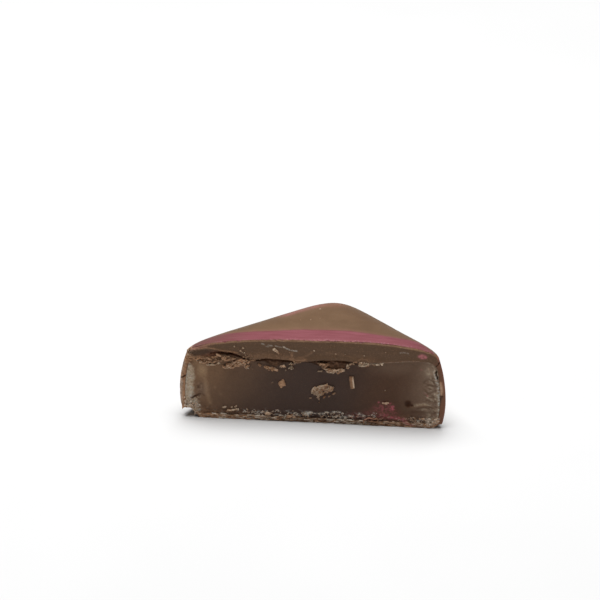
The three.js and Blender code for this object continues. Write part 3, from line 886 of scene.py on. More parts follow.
# The whole chocolate, with the jelly's pocket, all in front of the cut, both broken corners and the crack
# taken away, then its masks.
def makeCoat():
    piece = wholeChocolate()
    pocket = innerBlock("pocket", coat["wallThickness"], coat["floorThickness"], coat["ceilingHeight"],
                        coat["pocketRound"])
    front = inFrontOf("front", chocolateRelief, *coat["reliefGrid"])
    cutAway(piece, [pocket, front, *brokenCorners(), slot(*coat["slot"])])
    smoothShade(piece)
    x, y, z = pointsOf(piece.data)
    inHollow = smoothStep(0.02, 0.1, hollowDepth(x, z))
    onCut = strongest(1 - smoothStep(0.30, 0.6, y), inHollow * (y < 1.3))
    under, edge = belowTop(x, z), edgeDistance(x, z)
    left, right = x < 0, x > 0
    fine = noise(x * 3.4, z * 3.4, 1.5)
    coarse = noise(x * 1.1, z * 1.3, 6.5)
    knob = spots(x, z, coat["knob"]) * smoothStep(2.4, 1.2, y) * (0.8 + 0.9 * fine)

    # whitish dust: scrapes, patches along the bottom, and the outer edge of the left wall
    scrapes = drawn(x, z, coat["scrapes"]) * (0.85 + 0.7 * fine)
    lowDust = smoothStep(0.05, 0.4, noise(x * 1.3, z * 4.2, 8.1) + 0.3 * fine) * smoothStep(1.3, 0.7, z)
    lowDust *= (0.4 + 0.35 * hump(x, 1, 7) + 0.9 * hump(x, 5.6, 3.4) + 0.6 * smoothStep(16.8, 18.6, x)
                + 0.4 * smoothStep(-6, -9, x))
    lowDust *= smoothStep(19.9, 19.2, np.abs(x))
    outerLeft = smoothStep(0.6, 0.25, edge) * left * smoothStep(1.8, 2.5, z) * smoothStep(10.5, 9.5, z)
    outerLeft *= np.clip(0.1 + 0.9 * noise(x * 3.0, z * 1.1, 9.6) + 0.8 * fine, 0, 1)
    dust = strongest(scrapes, lowDust, 0.5 * outerLeft, 1.35 * whiteWisps(x, z))

    # lighter chocolate and painted highlights: drawn lines, partly painted highlights on rims and ridges,
    # the top edge, partly a painted highlight, a band low down at the left, the left wall, the crumbly
    # lower part of the top, the floor, and the layers below the hollow
    tanBand = hump(z, 0.56 + 0.08 * coarse, 0.22) * smoothStep(-17.2, -16, x) * smoothStep(-5.5, -9, x)
    leftWall = smoothStep(1.15, 0.85, edge) * left * (z < 11)
    crumbly = smoothStep(-1.5, -6, x) * smoothStep(-12.5, -11, x) * smoothStep(11.9, 11.2, z)
    onFloor = (0.24 + 0.42 * smoothStep(-6, -8, x) + 0.3 * smoothStep(12, 16, x)
               + 0.9 * noise(x * 1.9, z * 6, 3.3) + 0.4 * fine)
    crumb = strongest(
        drawn(x, z, coat["highlightsAndPaleLines"]) * (0.85 + 0.6 * fine),
        0.28 * smoothStep(0.30, 0.05, under) * (0.8 + 0.6 * fine),
        0.6 * tanBand * (0.8 + 0.8 * noise(x * 0.8, z * 5, 2.2)),
        leftWall * (0.66 + 0.6 * noise(x * 2.6, z * 0.9, 3.6) + 0.3 * fine),
        0.30 * crumbly * smoothStep(0.0, 0.5, coarse + 0.5 * fine),
        onFloor * smoothStep(1.0, 0.6, z),
        0.52 * smoothStep(-12, -13, x) * smoothStep(10.95, 10.7, z) * (z > 9) * (1 + fine) * (edge > 1),
    )
    belowHollow = smoothStep(-12, -13, x) * smoothStep(11.2, 10.8, z) * (edge > 1)

    # painted shade: along drawn lines in the hollow, under the lower edge of the top and in the tears and
    # cracks, a darker upper part of the right wall, and painted shade over the right side of the top, where
    # less light falls
    upperWall = smoothStep(8.0, 8.8, z) * smoothStep(12, 10.8, z) * smoothStep(1.1, 0.8, edge) * right
    shade = strongest(onCut * drawn(x, z, coat["shades"]) * (0.9 + 0.4 * fine), 0.14 * onCut * upperWall,
                      0.10 * (1 - onCut) * smoothStep(1, 11, x) * smoothStep(11, 12.5, z))

    # pink: on the cut in patches and along its edges, on the top as a trace and a haze behind the stroke
    blush = strongest(
        spots(x, z, coat["pinkPatch"]) * (0.8 + 0.65 * fine),
        0.16 * smoothStep(0.6, 0.1, under) * smoothStep(-15, -18, x),
        0.16 * smoothStep(0.3, 0.1, edge) * right,
        spots(x, z, jellyForm["stain"]) * (0.5 + fine) * (z < 1.5),
    )
    cornerX, cornerY = coat["backCorner"]
    backCorner = smoothStep(4.0, 1.0, np.hypot(x - cornerX, y - cornerY)) * smoothStep(11, 12.5, z)
    trace = smoothStep(2.3, 0.4, chainDistance(x, y, coat["pinkTrace"])) * smoothStep(10.8, 12.2, z)
    trace += 0.25 * backCorner
    behindStroke = y - traced(stroke["backEdge"], x, 0.3)
    haze = 0.14 * smoothStep(1.4, 0.0, behindStroke) * smoothStep(10.5, 12, z) * (1 - onCut)
    pinkOnTop = strongest(0.30 * trace, haze) * (0.75 + 0.5 * noise(x * 0.9, y * 0.9, z))

    # redder chocolate: the right wall and its rim, the inner side of the left wall, and the hollow
    red = onCut * strongest(
        0.65 * smoothStep(1.1, 0.8, edge) * smoothStep(12, 10.8, z) * right,
        0.8 * smoothStep(0.35, 0.1, edge) * smoothStep(12.8, 12, z) * right,
        0.45 * hump(edge, 0.72, 0.3) * smoothStep(9, 7.5, z) * left,
        0.75 * inHollow,
    )
    keepMasks(piece, {
        "cut": onCut,
        "dust": strongest(onCut * dust, 0.5 * knob),
        "crumb": strongest(onCut * crumb, 0.65 * knob),
        "grainy": onCut * strongest(0.7 * belowHollow, 0.8 * smoothStep(1.1, 0.8, z)),
        "shade": shade,
        "blush": strongest(blush * onCut, pinkOnTop),
        "red": strongest(red, 0.3 * backCorner),
    })
    setMaterial(piece, "milk chocolate", chocolate)
    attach(piece, "root")
    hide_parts("chocolate_coat")


# The jelly

jellyForm = {
    "fit": 0.03,
    "sunk": 0.14,
    # the relief that cuts the face: left, right, low, high, step of its grid
    "reliefGrid": (-22, 22, -0.5, 13.5, 0.09),
    "bladeWaves": 0.09,
    "ledgeDeep": 0.16,
    "slitDeep": 0.16,
    "featherDeep": 0.07,
    "paleRoughDeep": 0.13,
    "lumpyDeep": 0.15,
    # the upper edge of the jelly's face, below the open slit
    "ledge": [
        (-21, 12), (-11.4, 12), (-10.6, 10.6), (-9.8, 10.3), (-8.6, 10.25), (-7.5, 10.3), (-7.0, 9.9),
        (-6.3, 9.5), (-5.6, 9.4), (-5.2, 9.9), (-4.5, 10.2), (-3.2, 10.3), (-2.6, 10.8), (-1.7, 10.8),
        (-1.2, 10.5), (-0.1, 10.4), (0.6, 10.1), (1.2, 9.8), (1.7, 9.6), (2.3, 9.4), (3.2, 9.1),
        (4.2, 9.1), (4.9, 9.5), (5.3, 9.9), (5.7, 10.5), (6.1, 11.2), (6.5, 12), (21, 12),
    ],
    # hollows: x, z, width along x, width along z, depth
    "hollows": [
        (6.85, 10.75, 0.28, 0.16, 0.5), (-9.9, 10.5, 0.3, 0.2, 0.3), (15.2, 3.98, 0.62, 0.72, 0.34),
        (15.8, 3.72, 0.5, 0.34, 0.20), (-18.24, 3.58, 0.16, 0.16, 0.12),
    ],
    "grooves": [
        ([(19.6, 9.9), (19.51, 9.5), (19.55, 9.2), (19.72, 8.95), (19.77, 8.55)], 0.12, 0.6),
        ([(-19.3, 3.25), (-18.71, 3.65), (-18.19, 4.06)], 0.2, 0.12),
    ],
    # how strong the glow is: at the left along x, tilted, at the right and at the right end
    "leftGlow": [(-18, 1.0), (-17, 0.97), (-14.5, 0.58), (-12, 0.42), (-9.5, 0.24), (-7, 0.12),
                 (-4.5, 0.03), (-3, 0)],
    "rightGlow": [(4, 0), (6, 0.2), (8, 0.55), (10, 0.85), (12, 1)],
    "endGlow": [(13, 0), (15.5, 0.25), (17.5, 0.85), (18.5, 1)],
    # the right edge of the pale end: x at heights z
    "paleRight": [
        (1.0, -17.9), (1.3, -18.06), (2.24, -18.39), (3.1, -19.35), (3.72, -19.14), (4.78, -18.91),
        (6.02, -18.72), (7.34, -18.74), (8.66, -18.89), (9.4, -19.2), (9.9, -19.7),
    ],
    # how much the blade's streaks lean at heights z
    "streakLean": [(2.5, 0), (4, 0.15), (5, 0.5), (7, 0.7), (8.5, 0.9)],
    # light and dark marks where the blade dragged the right end; the dark ones lie in shallow grooves and
    # are partly painted shade: [points, width, strength]
    "lightMarks": [
        ([(16.3, 3.76), (17.1, 3.98), (17.9, 4.11), (18.8, 3.98)], 0.30, 0.40),
        ([(17.5, 3.10), (18.48, 3.25), (19.46, 3.03), (20.1, 3.16)], 0.24, 0.42),
        ([(18.04, 5.47), (18.53, 5.13), (19.1, 4.8)], 0.30, 0.50),
        ([(19.4, 5.9), (19.57, 5.1)], 0.26, 0.7), ([(19.75, 6.4), (19.92, 4.13)], 0.24, 0.6),
        ([(19.92, 4.3), (20.1, 3.15), (19.98, 1.9)], 0.28, 0.7),
        ([(18.79, 8.09), (19.0, 7.92), (19.2, 7.67)], 0.22, 0.42),
        ([(18.56, 7.28), (19.05, 6.95)], 0.22, 0.4), ([(18.41, 6.74), (18.9, 6.49)], 0.2, 0.35),
        ([(19.75, 7.3), (19.85, 6.5)], 0.2, 0.5),
        ([(19.3, 10.0), (19.3, 9.2), (19.42, 8.5), (19.7, 8.0)], 0.34, 0.75),
        ([(18.7, 9.9), (18.75, 8.9)], 0.6, 0.3), ([(17.6, 2.1), (18.6, 2.3)], 0.3, 0.1),
        ([(20.0, 1.9), (20.1, 1.2)], 0.3, 0.6),
        ([(-18.35, 3.5), (-18.25, 3.85), (-17.95, 3.85), (-17.9, 3.5), (-18.1, 3.35)], 0.12, 0.3),
    ],
    "darkMarks": [
        ([(17.67, 7.86), (17.98, 8.32), (18.54, 8.44), (19.19, 8.12), (19.77, 7.16)], 0.30, 0.5),
        ([(18.3, 7.5), (18.9, 7.35), (19.5, 7.45)], 0.24, 0.5),
        ([(18.3, 6.0), (18.9, 6.2), (19.5, 6.6)], 0.28, 0.4),
        ([(16.71, 3.24), (17.67, 3.56), (18.48, 3.65), (19.13, 3.46)], 0.17, 0.6),
        ([(15.91, 2.66), (17.53, 2.65), (19.47, 2.58)], 0.3, 0.5),
        ([(19.08, 5.52), (19.41, 5.36)], 0.3, 0.6), ([(18.13, 4.75), (18.78, 4.61)], 0.3, 0.45),
        ([(-19.3, 3.25), (-18.71, 3.65), (-17.9, 4.1)], 0.24, 0.9),
        ([(-17.5, 1.65), (-16.3, 1.4)], 0.3, 0.3),
        ([(-18.2, 4.05), (-17.6, 4.15), (-17.3, 3.8)], 0.22, 0.5),
        ([(-18.5, 3.3), (-18.1, 3.15)], 0.2, 0.4), ([(-17.9, 2.4), (-17.2, 1.9)], 0.5, 0.2),
    ],
    "amberLines": [
        ([(15.9, 3.6), (16.9, 3.9), (18.0, 3.95)], 0.4, 0.3),
        ([(-17.3, 7.2), (-16.96, 5.8), (-16.89, 4.7), (-16.6, 3.5), (-16.4, 2.6)], 0.5, 0.40),
        ([(-14.7, 4.3), (-14.6, 4.2)], 0.3, 0.2), ([(-15.5, 5.4), (-15.5, 5.3)], 0.3, 0.2),
    ],
    # whitish lines down both ends
    "whiteLines": [
        ([(19.3, 10.0), (19.67, 7.97), (19.92, 7.28), (20.0, 6.4), (19.96, 5.7), (20.1, 4.66),
          (20.08, 3.24), (20.15, 1.66), (19.95, 0.94)], 0.26, 0.8),
        ([(-19.75, 10.2), (-20.05, 9.0), (-20.2, 7.8), (-20.2, 6.5), (-20.3, 5.2), (-20.45, 4.0)],
         0.3, 0.8),
    ],
    # painted spots: x, z, width along x, width along z, strength
    "amber": [(-17.5, 8.4, 1.2, 1.9, 1.2), (-17.3, 9.5, 0.9, 0.8, 0.7), (-18.4, 9.8, 0.9, 0.7, 0.75)],
    "stain": [
        (12.8, 3.16, 0.42, 0.48, 1.8), (12.6, 2.3, 1.5, 0.8, 0.35), (9.2, 2.0, 1.3, 0.8, 0.26),
        (7.2, 1.5, 2.2, 0.7, 0.24), (12.3, 3.9, 0.55, 0.3, 0.7), (12.4, 2.9, 0.8, 0.9, 0.6),
        (10.6, 4.05, 0.32, 0.22, 0.7), (10.3, 2.8, 1.0, 0.9, 0.38), (11.4, 3.0, 1.6, 1.2, 0.5),
        (11.4, 1.8, 2.2, 0.9, 0.55), (12.5, 1.45, 0.9, 0.5, 1.0), (13.4, 1.45, 0.8, 0.4, 1.1),
        (14.4, 1.25, 0.7, 0.4, 1.2), (15.0, 0.6, 0.6, 0.35, 1.1), (14.7, 0.9, 0.5, 0.4, 1.1),
        (15.7, 0.4, 0.6, 0.25, 0.7), (9.2, 1.1, 1.4, 0.5, 0.45), (17.18, 10.07, 0.17, 0.17, 1.0),
        (18.24, 5.52, 0.15, 0.15, 1.2), (17.78, 6.08, 0.12, 0.12, 0.7), (18.0, 5.9, 0.2, 0.2, 0.3),
    ],
    "paleCorner": [(18.6, 9.6, 1.1, 1.4, 0.3)],
    "veil": [(-17.7, 5.0, 1.3, 1.8, 0.075)],
    "whiteLowLeft": [(-19.4, 3.9, 0.7, 0.9, 0.5)],
    "darkLeft": [(-18.05, 5.2, 0.8, 1.5, 0.7)],
    "crumbsLow": [(14.4, 1.2, 2.0, 1.0, 0.26), (11.4, 1.9, 2.8, 1.0, 0.10)],
}


# The depth of the jelly's cut behind y = 0: waves from the blade, a ledge and an open slit under the top,
# rough ends, a lumpy strip along the bottom, marks, grooves and hollows.
def jellyRelief(x, z):
    waves = jellyForm["bladeWaves"] * noise(x * 0.25, z * 0.4, 11.3)
    drag = 0.035 * noise(x * 0.9, z * 0.5, 5.9) + 0.012 * noise(x * 4, z * 3.5, 9.1)
    ledge = traced(jellyForm["ledge"], x, 0.12) + 0.12 * noise(x * 2.1, 0.4) + 0.07 * noise(x * 5.5, 0.9)
    belowCeiling = z - traced(coat["ceilingLine"], x, 0.3) - 0.1 * noise(x * 1.7, 6.4)
    slit = jellyForm["ledgeDeep"] * (1 + 0.9 * roughNoise(x * 1.3, z * 2.4, 4.4, 3))
    slit = smoothStep(0.0, 0.25, z - ledge) * (
        slit + jellyForm["slitDeep"] * smoothStep(-0.42, -0.12, belowCeiling))
    flush = -0.08 * smoothStep(7.5, 12, x) * smoothStep(9.0, 10.5, z)
    feathered = roughNoise(x * 1.6 + z * 0.6, z * 1.6 - x * 0.5, 2.3, 3)
    feather = smoothStep(16.8, 19.0, x) * jellyForm["featherDeep"] * feathered
    paleDeep, lumpyDeep = jellyForm["paleRoughDeep"], jellyForm["lumpyDeep"]
    paleRough = smoothStep(-18.2, -19.0, x) * paleDeep * roughNoise(x * 1.9, z * 1.3, 3.7, 4)
    lumpy = smoothStep(2.6, 1.2, z) * lumpyDeep * roughNoise(x * 1.6, z * 2.6, 6.1, 3)
    seam = (0.08 * (x > 0) - 0.10 * (x < 0)) * smoothStep(1.12, 0.92, edgeDistance(x, z))
    marks = 0.05 * drawn(x, z, jellyForm["darkMarks"]) - 0.07 * drawn(x, z, jellyForm["lightMarks"])
    return (jellyForm["sunk"] + waves + drag + slit + flush + feather + paleRough + lumpy + seam + marks
            + drawn(x, z, jellyForm["grooves"]) + drawn(x, z, [(leftWallInner, 0.14, 0.04)])
            + spots(x, z, jellyForm["hollows"]) + floorCrevice(x, z))


# Streaks that the blade left at the right end: noise drawn out along a line, level low down and leaning
# more towards the top, crossed in places by others that lean the other way.
def bladeStreaks(x, z):
    lean = traced(jellyForm["streakLean"], z)
    across = z + lean * x + 0.9 * noise(x * 0.8, z * 0.8, 2.2) + 0.35 * noise(x * 2.1, z * 2.1, 3.3)
    streaks = noise(across * 1.6, x * 0.9, 5.5) + 0.5 * noise(across * 3.6, x * 1.8, 6.6)
    other = z - 0.8 * x + 0.8 * noise(x * 0.9, z * 0.9, 6.1)
    crossed = smoothStep(-0.15, 0.25, noise(x * 0.75, z * 0.6, 4.9)) * smoothStep(4.5, 5.5, z)
    return streaks + crossed * (noise(other * 1.9, x * 1.1, 7.5) - streaks)


# The jelly fills the pocket, cut like the coat, then its masks.
def makeJelly():
    fit = jellyForm["fit"]
    piece = innerBlock("turkish_delight_piece", coat["wallThickness"] + fit, coat["floorThickness"] + fit,
                       coat["ceilingHeight"] - fit, coat["pocketRound"] - fit / 2)
    front = inFrontOf("front", jellyRelief, *jellyForm["reliefGrid"])
    cutAway(piece, [front, *brokenCorners()])
    smoothShade(piece)
    x, _, z = pointsOf(piece.data)
    wander = 0.9 * noise(x * 0.35, z * 0.35, 1.7) + 0.3 * noise(x * 1.4, z * 1.4, 2.7)
    fine = noise(x * 3.4, z * 3.4, 4.5)
    finest = noise(x * 6.5, z * 6.5, 4.5)
    mottled = 0.6 * noise(x * 4.5, z * 2.2, 9.9) + 0.5 * finest
    streaks = bladeStreaks(x, z)
    dragged = smoothStep(17.2, 18.4, x) * smoothStep(9.4, 8.4, z) * smoothStep(1.8, 2.8, z)
    slitShade = smoothStep(0.0, 0.25, z - traced(jellyForm["ledge"], x, 0.12))
    inSlit = slitShade * (z < 12)

    # warmer towards both ends, and amber inside the pale end
    tilted = x - 0.5 * (z - 5.5) + 0.8 * wander
    rightGlow = traced(jellyForm["rightGlow"], x + wander, 0.8)
    underTop = 0.55 * smoothStep(7, 12, x) * smoothStep(7.8, 11.0, z + 0.5 * wander)
    atEnd = traced(jellyForm["endGlow"], x + 0.4 * wander, 0.4)
    atEnd = atEnd * (1 - 0.4 * smoothStep(3.2, 2.2, z) * smoothStep(19, 18, x))
    amber = strongest(0.85 * spots(x, z, jellyForm["amber"]) * smoothStep(-16.45, -16.95, x + 0.1 * fine),
                      drawn(x, z, jellyForm["amberLines"]))

    # pale: a band down the left end, and at the right a mottled patch, the brink, crumbs and blade marks
    ragged = 0.22 * noise(x * 1.2, z * 1.3, 7.3) + 0.16 * fine + 0.10 * finest
    band = smoothStep(0.10, -0.5, x - traced(jellyForm["paleRight"], z) + ragged)
    band *= (0.92 + mottled) * smoothStep(10.3, 9.5, z)
    whitish = smoothStep(0.0, 0.5, noise(x * 1.7, z * 1.4, 2.3) + 0.4 * fine) * 0.46
    whitish = whitish * smoothStep(17.2, 19.1, x) * (1 - 0.85 * hump(z, 6.8, 1.8))
    brink = smoothStep(1.55, 1.0, edgeDistance(x, z)) * (x > 0)
    crumbly = smoothStep(17.4, 19.1, x) * smoothStep(2.1, 1.1, z + 0.3 * fine)
    lowLeft = smoothStep(-17.9, -18.7, x + 0.3 * fine) * smoothStep(3.6, 3.0, z + 0.3 * fine)
    pale = strongest(
        band,
        whitish + spots(x, z, jellyForm["paleCorner"]),
        brink * (0.36 + 0.6 * fine) * smoothStep(11.0, 10.4, z),
        crumbly * (0.85 + 0.7 * fine + 0.5 * finest),
        lowLeft * (0.8 + mottled),
        drawn(x, z, jellyForm["lightMarks"]) * (0.8 + 1.0 * fine + 0.5 * finest),
        0.24 * dragged * smoothStep(0.1, 0.55, streaks),
    )

    # whitish dust: lines down both ends, wisps and patches along the bottom
    lowRagged = smoothStep(0.05, 0.5, noise(x * 1.7, z * 2.4, 8.8) + 0.5 * fine)
    low = smoothStep(2.2, 1.3, z + 0.3 * noise(x * 1.1, 6.6)) * lowRagged
    dust = strongest(
        drawn(x, z, jellyForm["whiteLines"]) * (0.5 + 1.3 * fine + 0.9 * finest),
        1.35 * whiteWisps(x, z),
        spots(x, z, jellyForm["veil"]),
        spots(x, z, jellyForm["whiteLowLeft"]) * (0.8 + 1.2 * fine + 0.8 * finest),
        low * (0.10 + 0.25 * hump(x, 2.5, 7) + 0.35 * hump(x, 6, 3.5) + 0.2 * hump(x, -5, 5)),
    )

    # painted shade and dark marks: painted shade in the open slit, the pits, the crack at the right and the
    # crevice, painted shadows low down, the drawn dark marks, partly painted shade, and dark blade streaks
    slitTop = smoothStep(-0.75, -0.35, z - traced(coat["ceilingLine"], x, 0.3) - 0.1 * fine)
    slitShade *= 0.42 + (0.45 + 0.5 * (x < -2)) * slitTop
    slitShade *= 1 + 1.0 * noise(x * 2.2, z * 3.5, 8.1) + 0.6 * finest
    shadow = smoothStep(2.0, 1.4, z) * smoothStep(0.0, -0.4, noise(x * 1.4, z * 3.0, 1.1)) * 0.5
    shadeAndDarkMarks = strongest(
        slitShade,
        np.clip(9 * spots(x, z, jellyForm["hollows"][1:4]) - 0.3, 0, 1),
        np.clip(2.0 * drawn(x, z, jellyForm["grooves"][:1]), 0, 1),
        drawn(x, z, jellyForm["darkMarks"]),
        0.55 * dragged * smoothStep(-0.05, -0.45, streaks),
        spots(x, z, jellyForm["darkLeft"]) * (0.7 + 1.2 * fine),
        shadow * (1 - 0.7 * smoothStep(7, 11, np.abs(x))),
        np.clip(2 * floorCrevice(x, z), 0, 0.8),
    )

    # chocolate crumbs: under the flakes at the left, in the slit and along the floor
    floorCrumbs = 0.15 * smoothStep(1.5, 1.0, z) * smoothStep(-8, -12, x)
    floorCrumbs = floorCrumbs + 0.10 * smoothStep(2.6, 1.4, z) * smoothStep(-14.5, -16.5, x)
    floorCrumbs = floorCrumbs + spots(x, z, jellyForm["crumbsLow"])
    crumb = strongest(
        0.52 * smoothStep(9.8, 10.4, z) * smoothStep(-9.5, -11, x) * (1 + 0.6 * fine),
        0.40 * inSlit * (0.75 + 0.9 * fine + 0.5 * finest),
        floorCrumbs * (0.9 + 0.9 * fine + 0.5 * finest),
    )
    speckle = np.clip(0.70 + 1.5 * noise(x * 3.0, z * 3.0, 3.9) + 0.9 * finest, 0, 1.3)
    keepMasks(piece, {
        "leftGlow": traced(jellyForm["leftGlow"], tilted, 0.8),
        "rightGlow": strongest(rightGlow, 0.8 * inSlit),
        "endGlow": strongest(atEnd, underTop),
        "amber": amber * (0.9 + 0.4 * fine),
        "pale": pale,
        "stain": spots(x, z, jellyForm["stain"]) * speckle,
        "dust": dust,
        "shadeAndDarkMarks": shadeAndDarkMarks,
        "crumb": crumb,
    })
    setMaterial(piece, "rose jelly", jelly)
    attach(piece, "root")
    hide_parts("turkish_delight")


# Flakes and crumbs on the cut

chance = np.random.default_rng(5)

